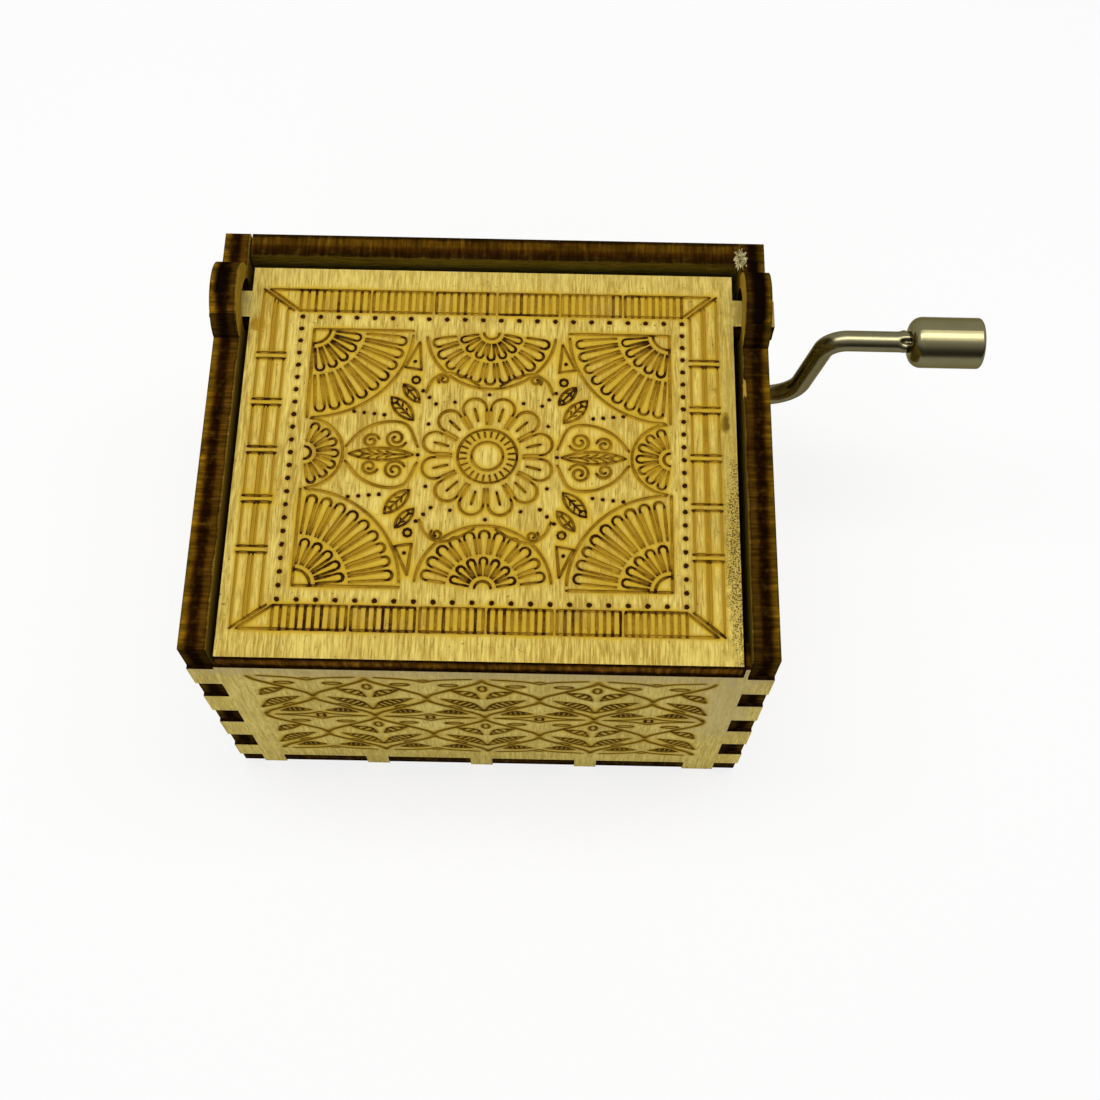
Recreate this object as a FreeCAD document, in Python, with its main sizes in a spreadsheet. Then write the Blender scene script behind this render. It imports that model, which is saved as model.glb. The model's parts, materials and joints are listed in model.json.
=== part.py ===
import FreeCAD, Part
import math
import os
import re

import Sketcher

# A hand-cranked music box in a case of laser-cut plywood, in millimetres.
# The origin is the centre of the case's underside: +X points to the crank, +Y to the back, +Z up.
# Names ending in _x, _y, _z, _left, _right, _front, _back, _low and _top are places in that frame.

DIMENSIONS = {
    # case of finger-jointed plywood
    "box_width": 64.0,
    "box_depth": 52.8,
    "box_height": 42.0,
    "ply": 3.0,
    "front_height": 37.5,
    "edge_step": 0.45,
    "bottom_inset": 0.2,
    "finger_count": 3,
    "finger_low": 7.2,
    "finger_size": 4.6,
    "finger_pitch": 10.0,
    "corner_low": 36.85,
    "tab_count": 4,
    "tab_left": -29.2,
    "tab_size": 2.8,
    "tab_pitch": 13.4,
    "end_tab_size": 3.95,
    "side_tab_size": 4.0,
    "side_tab_pitch": 15.0,
    "horn_left": 28.5,
    "horn_size": 0.45,
    "horn_height": 2.7,
    "back_joint_gap": 0.2,
    "ear_radius": 4.7,
    "ear_y": 16.8,
    # lid and its pegs
    "lid_left": -28.4,
    "lid_right": 28.2,
    "lid_front": -26.2,
    "lid_back": 22.6,
    "lid_low": 37.6,
    "peg_size": 3.5,
    "peg_left_end": -33.2,
    "peg_right_end": 33.1,
    "hinge_y": 17.6,
    "hinge_z": 40.2,
    "hinge_hole_radius": 3.2,
    # bedplate casting, with the seat that carries the comb
    "bed_thickness": 1.6,
    "bed_left": -24.0,
    "bed_right": 25.5,
    "bed_front": -16.4,
    "bed_back": 22.6,
    "bed_corner_radius": 2.0,
    "seat_left": -21.0,
    "seat_width": 7.0,
    "seat_top": 12.4,
    # drum: sleeve, pins, end plates and arbor
    "drum_x": 8.0,
    "drum_z": 13.4,
    "drum_front": -7.0,
    "drum_length": 19.0,
    "drum_radius": 6.5,
    "drum_wall": 0.7,
    "pin_radius": 0.22,
    "pin_height": 0.65,
    "pin_root": 0.5,
    "note_count": 18,
    "pins_per_note": 5,
    "note_turn": 137.5,
    "pin_shift": 11.0,
    "plate_thickness": 2.0,
    "hub_radius": 2.2,
    "arbor_radius": 1.2,
    "arbor_overhang": 0.5,
    "end_float": 0.15,
    "press_gap": 0.02,
    "running_gap": 0.05,
    # comb
    "comb_thickness": 1.6,
    "tine_thickness": 0.5,
    "tine_gap": 0.26,
    "relief_margin": 1.0,
    "tip_gap": 0.15,
    "long_root": -13.5,
    "short_root": -8.5,
    "weight_count": 6,
    "weight_length": 1.6,
    "weight_width": 0.5,
    "weight_height": 0.9,
    "weight_inset": 0.8,
    # worm gear between the crank shaft and the drum
    "shaft_y": 17.1,
    "shaft_z": 22.0,
    "shaft_radius": 1.5,
    "shaft_left": -4.2,
    "shaft_right": 27.5,
    "worm_pitch": 1.6,
    "worm_turns": 6.0,
    "worm_length": 10.6,
    "worm_core_radius": 1.85,
    "worm_tip_radius": 2.95,
    "thread_tip_width": 0.2,
    "thread_root_width": 0.84,
    "thread_sink": 0.1,
    "wheel_teeth": 24.0,
    "wheel_tip_radius": 6.5,
    "wheel_root_radius": 5.35,
    "wheel_width": 4.0,
    "gap_tip_width": 1.4,
    "gap_root_width": 0.56,
    "gap_overrun": 0.3,
    "lead_angle": 5.82,
    # gear frame and front bearing post
    "wall": 2.0,
    "frame_span": 9.0,
    "frame_front": 13.6,
    "frame_wall_front": 20.3,
    "frame_wall_top": 16.8,
    "cheek_radius": 2.8,
    "lug_width": 5.0,
    "lug_thickness": 2.0,
    "post_thickness": 1.6,
    "post_radius": 3.2,
    "post_foot": 5.2,
    "post_gap": 2.0,
    "collar_radius": 2.5,
    "collar_length": 1.6,
    # crank wire and knob
    "wire_radius": 1.25,
    "wire_tenon_radius": 1.0,
    "wire_tenon": 6.0,
    "tenon_gap": 0.5,
    "wire_corner_x": 38.0,
    "wire_leg_run": 2.24,
    "throw": 14.5,
    "low_bend_radius": 4.5,
    "high_bend_radius": 2.8,
    "crank_tilt": 1.8,
    "wire_end": 55.9,
    "wire_head_radius": 1.75,
    "wire_head_length": 0.9,
    "crimp_x": 48.8,
    "crimp_length": 0.9,
    "crimp_reach": 1.55,
    "crimp_thickness": 0.7,
    "crimp_lean": 0.3,
    "crimp_taper": 0.2,
    "dent_radius": 0.7,
    "dent_depth": 0.35,
    "knob_left": 49.75,
    "knob_right": 58.35,
    "knob_radius": 3.05,
    "knob_mouth": 5.1,
    "knob_floor": 2.0,
    "knob_inner_round": 1.5,
    "knob_outer_round": 0.45,
    "wire_hole_radius": 2.0,
    # screws
    "screw_radius": 1.0,
    "screw_head_radius": 1.9,
    "screw_head_height": 1.2,
    "washer_radius": 2.3,
    "washer_thickness": 0.4,
    "slot_width": 0.5,
    "slot_depth": 0.5,
    "case_screw_radius": 1.2,
    "case_screw_hole_radius": 1.35,
    "case_screw_head_radius": 2.3,
    "case_screw_head_height": 1.1,
    "case_screw_end": 6.0,
    "case_screw_sunk": 0.15,
    "case_screw_side_inset": 4.5,
    "case_screw_front_inset": 3.4,
    "case_screw_back_inset": 4.1,
    "countersink_radius": 2.5,
    "tapped_radius": 1.02,
}

COMB_SCREW_PLACES = [("comb_screw_x", "comb_screw_front_y"), ("comb_screw_x", "comb_screw_back_y")]
CASE_SCREW_PLACES = [
    ("case_screw_left_x", "case_screw_back_y"),
    ("case_screw_left_x", "case_screw_front_y"),
    ("case_screw_right_x", "case_screw_front_y"),
]
FRAME_SCREW_PLACES = [
    ("drum_x", "post_screw_y"),
    ("frame_left - lug_width / 2", "shaft_y"),
    ("frame_right + lug_width / 2", "shaft_y"),
]

# Cells worked out from the driving dimensions above.
DERIVED = {
    "case_screw_left_x": "bed_left + case_screw_side_inset",
    "case_screw_right_x": "bed_right - case_screw_side_inset",
    "case_screw_front_y": "bed_front + case_screw_front_inset",
    "case_screw_back_y": "bed_back - case_screw_back_inset",
    "bed_top": "ply + bed_thickness",
    "comb_top": "seat_top + comb_thickness",
    "comb_screw_x": "seat_left + seat_width / 2",
    "comb_screw_front_y": "drum_front + drum_length / 4",
    "comb_screw_back_y": "drum_front + drum_length * 3 / 4",
    "drum_back": "drum_front + drum_length",
    "note_pitch": "drum_length / note_count",
    "tip_right": "drum_x - drum_radius - pin_height - tip_gap",
    "frame_left": "drum_x - frame_span - wall",
    "frame_right": "drum_x + frame_span + wall",
    "frame_back": "frame_wall_front + wall",
    "hub_front": "post_back + end_float",
    "post_back": "drum_front - post_gap",
    "post_screw_y": "post_back - post_thickness - post_foot / 2",
    "wheel_front": "shaft_y - wheel_width / 2",
    "case_front": "-box_depth / 2",
    "case_back": "box_depth / 2",
    "case_side": "box_width / 2",
}

doc = FreeCAD.newDocument("MusicBox")
sheet = doc.addObject("Spreadsheet::Sheet", "Sizes")


def fill_sheet():
    """Writes the driving dimensions as numbers and the derived cells as formulas, each with its alias."""
    cells = {alias: str(value) for alias, value in DIMENSIONS.items()}
    cells.update({alias: "=" + formula for alias, formula in DERIVED.items()})
    for row, (alias, text) in enumerate(cells.items(), start=1):
        sheet.set(f"A{row}", alias)
        sheet.set(f"B{row}", text)
        sheet.setAlias(f"B{row}", alias)
    doc.recompute()


def bound(formula):
    """The formula with every cell name written as a reference to the sheet."""
    known = set(DIMENSIONS) | set(DERIVED)
    return re.sub(r"[a-z_]+", lambda m: "Sizes." + m.group() if m.group() in known else m.group(), formula)


def number(formula):
    """The formula's value now."""
    return float(sheet.evalExpression(bound(formula)))


def whole(formula):
    """The formula's value now, as a count."""
    return round(number(formula))


def bind(item, **formulas):
    """Ties the item's properties to formulas. Two underscores in a name stand for a dot."""
    for name, formula in formulas.items():
        item.setExpression(name.replace("__", "."), bound(formula))


# ---------------------------------------------------------------- sketches and features


def new_body(label):
    body = doc.addObject("PartDesign::Body", label)
    body.Label = label
    return body


def new_sketch(body, plane, name, offset="0"):
    """An empty sketch parallel to one of the body's own origin planes, moved along that plane's normal."""
    sketch = body.newObject("Sketcher::SketchObject", name)
    home = next(item for item in body.Origin.OriginFeatures if item.Role == plane)
    sketch.AttachmentSupport = [(home, "")]
    sketch.MapMode = "FlatFace"
    bind(sketch, AttachmentOffset__Base__z=offset)
    return sketch


def dimension(sketch, kind, formula, *places):
    """A driving dimension tied to a formula."""
    index = sketch.addConstraint(Sketcher.Constraint(kind, *places, number(formula)))
    sketch.setExpression(f"Constraints[{index}]", bound(formula))


def locate(sketch, curve, end, across, up):
    """Fixes one end of a curve (or its centre, end 3) at two formulas from the sketch's origin."""
    dimension(sketch, "DistanceX", across, -1, 1, curve, end)
    dimension(sketch, "DistanceY", up, -1, 1, curve, end)


def draw_rectangle(sketch, left, low, right, top):
    corners = [(left, low), (right, low), (right, top), (left, top)]
    points = [FreeCAD.Vector(number(across), number(up), 0) for across, up in corners]
    first = sketch.GeometryCount
    for i in range(4):
        sketch.addGeometry(Part.LineSegment(points[i], points[(i + 1) % 4]))
    for i in range(4):
        sketch.addConstraint(Sketcher.Constraint("Coincident", first + i, 2, first + (i + 1) % 4, 1))
    for side, direction in enumerate(("Horizontal", "Vertical", "Horizontal", "Vertical")):
        sketch.addConstraint(Sketcher.Constraint(direction, first + side))
    locate(sketch, first, 1, left, low)
    locate(sketch, first + 1, 2, right, top)


def draw_polygon(sketch, corners):
    """A closed outline through corners given as pairs of formulas."""
    points = [FreeCAD.Vector(number(across), number(up), 0) for across, up in corners]
    first = sketch.GeometryCount
    count = len(corners)
    for i in range(count):
        sketch.addGeometry(Part.LineSegment(points[i], points[(i + 1) % count]))
    for i in range(count):
        sketch.addConstraint(Sketcher.Constraint("Coincident", first + i, 2, first + (i + 1) % count, 1))
    for i, (across, up) in enumerate(corners):
        locate(sketch, first + i, 1, across, up)


def draw_circle(sketch, across, up, radius):
    centre = FreeCAD.Vector(number(across), number(up), 0)
    circle = sketch.addGeometry(Part.Circle(centre, FreeCAD.Vector(0, 0, 1), number(radius)))
    dimension(sketch, "Radius", radius, circle)
    locate(sketch, circle, 3, across, up)


def pad(body, sketch, length, backwards=False):
    """Extrudes the sketch along its normal, or against it."""
    feature = body.newObject("PartDesign::Pad", "Pad")
    feature.Profile = sketch
    bind(feature, Length=length)
    feature.Reversed = backwards
    doc.recompute()
    return feature


def pocket(body, sketch):
    """Cuts the sketch through the whole body, both ways, and makes sure that it cut something."""
    before = body.Shape.Volume
    feature = body.newObject("PartDesign::Pocket", "Pocket")
    feature.Profile = sketch
    feature.Type = "ThroughAll"
    feature.Midplane = True
    doc.recompute()
    require_less(body, before)
    return feature


def blind_pocket(body, sketch, depth, backwards=False):
    """Cuts the sketch to a depth against its normal, or along it."""
    before = body.Shape.Volume
    feature = body.newObject("PartDesign::Pocket", "BlindPocket")
    feature.Profile = sketch
    bind(feature, Length=depth)
    feature.Reversed = backwards
    doc.recompute()
    require_less(body, before)
    return feature


def require_less(body, before):
    if not body.Shape.Volume < before - 1e-6:
        raise RuntimeError(f"a cut in {body.Label} removed nothing")


def turn(body, sketch, axis):
    """Revolves the sketch about its own horizontal or vertical axis."""
    feature = body.newObject("PartDesign::Revolution", "Revolution")
    feature.Profile = sketch
    feature.ReferenceAxis = (sketch, [axis])
    feature.Angle = 360.0
    doc.recompute()
    return feature


def turned_body(label, profile, place=("0", "0", "0")):
    """A body turned about its own Y axis from corners (radius, y), and moved to a place."""
    body = new_body(label)
    sketch = new_sketch(body, "XY_Plane", label + "_profile")
    draw_polygon(sketch, profile)
    turn(body, sketch, "V_Axis")
    move(body, place)
    return body


def move(item, place):
    bind(item, Placement__Base__x=place[0], Placement__Base__y=place[1], Placement__Base__z=place[2])
    doc.recompute()


# ---------------------------------------------------------------- case


def finger_notches():
    """Pairs of heights between which the front and back panels pass through the side panels."""
    count = whole("finger_count")
    lows = [f"finger_low + finger_pitch * {i} + finger_size" for i in range(count)]
    tops = [f"finger_low + finger_pitch * {i + 1}" for i in range(count - 1)] + ["corner_low"]
    return [("ply", "finger_low")] + list(zip(lows, tops))


def front_tabs():
    """Pairs of X between which the front and back panels pass through the bottom panel."""
    starts = [f"tab_left + tab_pitch * {i}" for i in range(whole("tab_count"))]
    tabs = [(start, start + " + tab_size") for start in starts]
    return tabs + [("case_side - ply - end_tab_size", "case_side - ply")]


def side_tabs():
    """Pairs of Y between which the side panels pass through the bottom panel."""
    return [
        (f"side_tab_pitch * {i} - side_tab_size / 2", f"side_tab_pitch * {i} + side_tab_size / 2")
        for i in (-1, 0, 1)
    ]


def end_panel(label, inner_face, towards_back, left, height):
    """The front or back panel: a plate with fingers through the sides and tabs through the bottom."""
    body = new_body(label)
    field = new_sketch(body, "XZ_Plane", label + "_field", inner_face)
    draw_rectangle(field, left, "ply", "case_side - ply", height)
    pad(body, field, "ply", towards_back)
    fingers = new_sketch(body, "XZ_Plane", label + "_fingers", inner_face)
    for low, top in finger_notches():
        draw_rectangle(fingers, "-case_side", low, left, top)
        draw_rectangle(fingers, "case_side - ply", low, "case_side", top)
    pad(body, fingers, "ply", towards_back)
    tabs = new_sketch(body, "XZ_Plane", label + "_tabs", inner_face)
    for tab_start, tab_end in front_tabs():
        draw_rectangle(tabs, tab_start, "0", tab_end, "ply")
    pad(body, tabs, "ply", towards_back)
    return body


def front_panel():
    inner_face = "-(case_front + ply)"
    body = end_panel("front_panel", inner_face, False, "ply - case_side", "front_height")
    horn = new_sketch(body, "XZ_Plane", "front_panel_horn", inner_face)
    draw_rectangle(horn, "horn_left", "front_height", "horn_left + horn_size", "front_height + horn_height")
    pad(body, horn, "ply")
    return body


def back_panel():
    left = "ply - case_side + back_joint_gap"
    return end_panel("back_panel", "-(case_back - ply)", True, left, "box_height")


def side_panel(label, inner_face, outwards_left):
    """A side panel, notched for the fingers at its ends, with a half-round ear above the hinge hole."""
    body = new_body(label)
    field = new_sketch(body, "YZ_Plane", label + "_field", inner_face)
    draw_rectangle(field, "case_front + edge_step", "ply", "case_back", "box_height")
    pad(body, field, "ply", outwards_left)
    ear = new_sketch(body, "YZ_Plane", label + "_ear", inner_face)
    draw_circle(ear, "ear_y", "box_height", "ear_radius")
    pad(body, ear, "ply", outwards_left)
    tabs = new_sketch(body, "YZ_Plane", label + "_tabs", inner_face)
    for tab_start, tab_end in side_tabs():
        draw_rectangle(tabs, tab_start, "0", tab_end, "ply")
    pad(body, tabs, "ply", outwards_left)
    notches = new_sketch(body, "YZ_Plane", label + "_notches", inner_face)
    for low, top in finger_notches():
        draw_rectangle(notches, "case_front", low, "case_front + ply", top)
        draw_rectangle(notches, "case_back - ply", low, "case_back", top)
    pocket(body, notches)
    hole = new_sketch(body, "YZ_Plane", label + "_hinge_hole", inner_face)
    draw_circle(hole, "hinge_y", "hinge_z", "hinge_hole_radius")
    pocket(body, hole)
    return body


def left_panel():
    return side_panel("left_panel", "ply - case_side", True)


def right_panel():
    body = side_panel("right_panel", "case_side - ply", False)
    hole = new_sketch(body, "YZ_Plane", "right_panel_wire_hole")
    draw_circle(hole, "shaft_y", "shaft_z", "wire_hole_radius")
    pocket(body, hole)
    return body


def bottom_panel():
    """The bottom panel, a little short of the case's outer faces, notched for the tabs of the four walls."""
    body = new_body("bottom_panel")
    field = new_sketch(body, "XY_Plane", "bottom_panel_field")
    side = "case_side - bottom_inset"
    draw_rectangle(field, f"-({side})", "case_front + bottom_inset", side, "case_back - bottom_inset")
    pad(body, field, "ply")
    notches = new_sketch(body, "XY_Plane", "bottom_panel_notches")
    for left, right in front_tabs():
        draw_rectangle(notches, left, "case_front", right, "case_front + ply")
        draw_rectangle(notches, left, "case_back - ply", right, "case_back")
    for front, back in side_tabs():
        draw_rectangle(notches, "-case_side", front, "ply - case_side", back)
        draw_rectangle(notches, "case_side - ply", front, "case_side", back)
    pocket(body, notches)
    before = body.Shape.Volume
    centres = new_sketch(body, "XY_Plane", "bottom_panel_screw_holes")
    for across, back in CASE_SCREW_PLACES:
        draw_circle(centres, across, back, "case_screw_hole_radius")
    doc.recompute()
    holes = body.newObject("PartDesign::Hole", "ScrewHoles")
    holes.Profile = centres
    doc.recompute()
    holes.Threaded = False
    holes.ThreadType = "None"
    holes.DepthType = "ThroughAll"
    holes.Reversed = True
    holes.HoleCutType = "Countersink"
    holes.HoleCutCountersinkAngle = 90.0
    bind(holes, Diameter="case_screw_hole_radius * 2", HoleCutDiameter="countersink_radius * 2")
    doc.recompute()
    require_less(body, before)
    return body


def lid():
    """The lid, with the two square pegs that it turns on."""
    body = new_body("lid")
    field = new_sketch(body, "XY_Plane", "lid_field", "lid_low")
    draw_rectangle(field, "lid_left", "lid_front", "lid_right", "lid_back")
    pad(body, field, "ply")
    pegs = new_sketch(body, "XY_Plane", "lid_pegs", "lid_low")
    peg_front = "hinge_y - peg_size / 2"
    peg_back = "hinge_y + peg_size / 2"
    draw_rectangle(pegs, "peg_left_end", peg_front, "lid_left", peg_back)
    draw_rectangle(pegs, "lid_right", peg_front, "peg_right_end", peg_back)
    pad(body, pegs, "ply")
    return body


# ---------------------------------------------------------------- movement: fixed pieces


def drill(body, name, places, radius):
    """Straight holes along Z through the whole body."""
    sketch = new_sketch(body, "XY_Plane", name)
    for across, back in places:
        draw_circle(sketch, across, back, radius)
    pocket(body, sketch)


def bedplate():
    """One casting: the plate on the bottom panel and the seat that lifts the comb to the drum."""
    body = new_body("bedplate")
    field = new_sketch(body, "XY_Plane", "bedplate_field", "ply")
    draw_rectangle(field, "bed_left", "bed_front", "bed_right", "bed_back")
    plate = pad(body, field, "bed_thickness")
    upright = [
        f"Edge{i}"
        for i, edge in enumerate(plate.Shape.Edges, start=1)
        if abs(edge.tangentAt(edge.FirstParameter).z) > 0.99
    ]
    corners = body.newObject("PartDesign::Fillet", "Corners")
    corners.Base = (plate, upright)
    bind(corners, Radius="bed_corner_radius")
    doc.recompute()
    seat = new_sketch(body, "XY_Plane", "bedplate_seat", "bed_top")
    draw_rectangle(seat, "seat_left", "drum_front", "seat_left + seat_width", "drum_back")
    pad(body, seat, "seat_top - bed_top")
    drill(body, "bedplate_tapped_holes", COMB_SCREW_PLACES + FRAME_SCREW_PLACES, "tapped_radius")
    drill(body, "bedplate_case_holes", CASE_SCREW_PLACES, "case_screw_radius + press_gap")
    return body


def gear_frame():
    """The casting that carries the worm shaft in two cheeks and the back end of the drum arbor in a wall."""
    body = new_body("gear_frame")
    wall = new_sketch(body, "XZ_Plane", "gear_frame_wall", "-frame_wall_front")
    draw_rectangle(wall, "frame_left", "bed_top", "frame_right", "frame_wall_top")
    pad(body, wall, "wall", True)
    for side, inner in (("left", "frame_left"), ("right", "frame_right - wall")):
        cheek = new_sketch(body, "YZ_Plane", f"gear_frame_{side}_cheek", inner)
        draw_rectangle(cheek, "frame_front", "bed_top", "frame_back", "frame_wall_top")
        pad(body, cheek, "wall")
        neck = new_sketch(body, "YZ_Plane", f"gear_frame_{side}_neck", inner)
        draw_rectangle(
            neck, "shaft_y - cheek_radius", "frame_wall_top", "shaft_y + cheek_radius", "shaft_z"
        )
        pad(body, neck, "wall")
        head = new_sketch(body, "YZ_Plane", f"gear_frame_{side}_head", inner)
        draw_circle(head, "shaft_y", "shaft_z", "cheek_radius")
        pad(body, head, "wall")
    lugs = new_sketch(body, "XY_Plane", "gear_frame_lugs", "bed_top")
    lug_front = "shaft_y - lug_width / 2"
    lug_back = "shaft_y + lug_width / 2"
    draw_rectangle(lugs, "frame_left - lug_width", lug_front, "frame_left", lug_back)
    draw_rectangle(lugs, "frame_right", lug_front, "frame_right + lug_width", lug_back)
    pad(body, lugs, "lug_thickness")
    shaft_bore = new_sketch(body, "YZ_Plane", "gear_frame_shaft_bore")
    draw_circle(shaft_bore, "shaft_y", "shaft_z", "shaft_radius + running_gap")
    pocket(body, shaft_bore)
    arbor_bore = new_sketch(body, "XZ_Plane", "gear_frame_arbor_bore")
    draw_circle(arbor_bore, "drum_x", "drum_z", "arbor_radius + running_gap")
    pocket(body, arbor_bore)
    drill(body, "gear_frame_screw_holes", FRAME_SCREW_PLACES[1:], "screw_radius + running_gap")
    return body


def bearing_post():
    """The bracket that carries the front end of the drum arbor."""
    body = new_body("bearing_post")
    back_face = "-post_back"
    plate = new_sketch(body, "XZ_Plane", "bearing_post_plate", back_face)
    draw_rectangle(plate, "drum_x - post_radius", "bed_top", "drum_x + post_radius", "drum_z")
    pad(body, plate, "post_thickness")
    head = new_sketch(body, "XZ_Plane", "bearing_post_head", back_face)
    draw_circle(head, "drum_x", "drum_z", "post_radius")
    pad(body, head, "post_thickness")
    foot = new_sketch(body, "XY_Plane", "bearing_post_foot", "bed_top")
    draw_rectangle(
        foot,
        "drum_x - post_radius",
        "post_back - post_thickness - post_foot",
        "drum_x + post_radius",
        "post_back - post_thickness",
    )
    pad(body, foot, "post_thickness")
    bore = new_sketch(body, "XZ_Plane", "bearing_post_bore")
    draw_circle(bore, "drum_x", "drum_z", "arbor_radius + running_gap")
    pocket(body, bore)
    drill(body, "bearing_post_screw_hole", FRAME_SCREW_PLACES[:1], "screw_radius + running_gap")
    return body


def root_of_gap(i):
    """X where the slit between tines i and i + 1 ends: the roots run back towards the long bass tines."""
    return f"long_root + (short_root - long_root) * {i + 1} / note_count"


def comb():
    """The steel comb: a thick heel on the seat and thin tines, long at the front and short at the back."""
    body = new_body("comb")
    field = new_sketch(body, "XY_Plane", "comb_field", "seat_top")
    draw_rectangle(field, "seat_left", "drum_front", "tip_right", "drum_back")
    pad(body, field, "comb_thickness")
    relief = new_sketch(body, "XY_Plane", "comb_relief", "seat_top")
    draw_polygon(
        relief,
        [
            ("long_root", "drum_front - relief_margin"),
            ("tip_right + relief_margin", "drum_front - relief_margin"),
            ("tip_right + relief_margin", "drum_back + relief_margin"),
            ("short_root", "drum_back + relief_margin"),
        ],
    )
    blind_pocket(body, relief, "comb_thickness - tine_thickness", True)
    slits = new_sketch(body, "XY_Plane", "comb_slits", "seat_top")
    for i in range(whole("note_count") - 1):
        middle = f"drum_front + note_pitch * {i + 1}"
        front = middle + " - tine_gap / 2"
        back = middle + " + tine_gap / 2"
        draw_rectangle(slits, root_of_gap(i), front, "tip_right + relief_margin", back)
    pocket(body, slits)
    drill(body, "comb_screw_holes", COMB_SCREW_PLACES, "screw_radius + running_gap")
    return body


def comb_weights():
    """Lead weights under the tips of the longest tines."""
    boxes = []
    for i in range(whole("weight_count")):
        weight = doc.addObject("Part::Box", f"Weight{i}")
        bind(
            weight,
            Length="weight_length",
            Width="weight_width",
            Height="weight_height",
            Placement__Base__x="tip_right - weight_length - weight_inset",
            Placement__Base__y=f"drum_front + note_pitch * ({i} + 0.5) - weight_width / 2",
            Placement__Base__z="comb_top - tine_thickness - weight_height",
        )
        boxes.append(weight)
    return group("comb_weights", boxes)


def group(label, pieces):
    """Like pieces that share one node, as separate solids."""
    compound = doc.addObject("Part::Compound", label)
    compound.Links = pieces
    compound.Label = label
    doc.recompute()
    return compound


# ---------------------------------------------------------------- screws


def slotted(name, head, place, top):
    """Cuts a screwdriver slot across a screw that ends at a height."""
    blade = doc.addObject("Part::Box", name + "Blade")
    bind(
        blade,
        Length="screw_head_radius * 3",
        Width="slot_width",
        Height="slot_depth",
        Placement__Base__x=f"{place[0]} - screw_head_radius * 1.5",
        Placement__Base__y=f"{place[1]} - slot_width / 2",
        Placement__Base__z=top,
    )
    screw = doc.addObject("Part::Cut", name)
    screw.Base = head
    screw.Tool = blade
    return screw


def cylinder(name, radius, height, place, low):
    part = doc.addObject("Part::Cylinder", name)
    bind(
        part,
        Radius=radius,
        Height=height,
        Placement__Base__x=place[0],
        Placement__Base__y=place[1],
        Placement__Base__z=low,
    )
    return part


def fused(name, pieces):
    whole = doc.addObject("Part::MultiFuse", name)
    whole.Shapes = pieces
    whole.Refine = True
    return whole


def cheese_head_screw(name, place, seat, low):
    """A slotted cheese-head screw standing on a seat height, its plain shank down to a low height."""
    shank = cylinder(name + "Shank", "screw_radius", f"{seat} - {low}", place, low)
    head = cylinder(name + "Head", "screw_head_radius", "screw_head_height", place, seat)
    whole = fused(name + "Whole", [shank, head])
    return slotted(name, whole, place, f"{seat} + screw_head_height - slot_depth")


def comb_screws():
    seat = "comb_top + washer_thickness"
    screws = [
        cheese_head_screw(f"CombScrew{i}", place, seat, "bed_top")
        for i, place in enumerate(COMB_SCREW_PLACES)
    ]
    return group("comb_screws", screws)


def comb_washers():
    rings = []
    for i, place in enumerate(COMB_SCREW_PLACES):
        disc = cylinder(f"WasherDisc{i}", "washer_radius", "washer_thickness", place, "comb_top")
        core = cylinder(f"WasherHole{i}", "screw_radius + running_gap", "washer_thickness", place, "comb_top")
        ring = doc.addObject("Part::Cut", f"Washer{i}")
        ring.Base = disc
        ring.Tool = core
        rings.append(ring)
    return group("comb_washers", rings)


def frame_screws():
    seats = ["bed_top + post_thickness", "bed_top + lug_thickness", "bed_top + lug_thickness"]
    screws = [
        cheese_head_screw(f"FrameScrew{i}", place, seat, "ply + press_gap")
        for i, (place, seat) in enumerate(zip(FRAME_SCREW_PLACES, seats))
    ]
    return group("frame_screws", screws)


def case_screws():
    """Countersunk screws from below, which hold the bedplate to the bottom panel."""
    screws = []
    for i, place in enumerate(CASE_SCREW_PLACES):
        cone = doc.addObject("Part::Cone", f"CaseScrewHead{i}")
        bind(
            cone,
            Radius1="case_screw_head_radius",
            Radius2="case_screw_radius",
            Height="case_screw_head_height",
            Placement__Base__x=place[0],
            Placement__Base__y=place[1],
            Placement__Base__z="case_screw_sunk",
        )
        neck = "case_screw_sunk + case_screw_head_height"
        shank = cylinder(f"CaseScrewShank{i}", "case_screw_radius", f"case_screw_end - ({neck})", place, neck)
        whole = fused(f"CaseScrewWhole{i}", [cone, shank])
        screws.append(slotted(f"CaseScrew{i}", whole, place, "case_screw_sunk"))
    return group("case_screws", screws)


# ---------------------------------------------------------------- movement: drum


def drum_sleeve():
    inner = "drum_radius - drum_wall"
    profile = [
        (inner, "drum_front"),
        ("drum_radius", "drum_front"),
        ("drum_radius", "drum_back"),
        (inner, "drum_back"),
    ]
    return turned_body("drum_sleeve", profile, ("drum_x", "0", "drum_z"))


def drum_pins():
    """The tune: short pins in rows around the sleeve, one row for each tine of the comb."""
    axis_x = number("drum_x")
    axis_z = number("drum_z")
    root = number("drum_radius - pin_root")
    length = number("pin_root + pin_height")
    per_note = whole("pins_per_note")
    note_turn = number("note_turn")
    pin_shift = number("pin_shift")
    pins = []
    for note in range(whole("note_count")):
        y = number(f"drum_front + note_pitch * ({note} + 0.5)")
        for i in range(per_note):
            angle = math.radians(note_turn * note + 360.0 * i / per_note + pin_shift * ((note * i) % 3))
            out = FreeCAD.Vector(math.cos(angle), 0, math.sin(angle))
            start = FreeCAD.Vector(axis_x, y, axis_z) + out * root
            pins.append(Part.makeCylinder(number("pin_radius"), length, start, out))
    feature = doc.addObject("Part::Feature", "drum_pins")
    feature.Shape = Part.makeCompound(pins)
    feature.Label = "drum_pins"
    return feature


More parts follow.
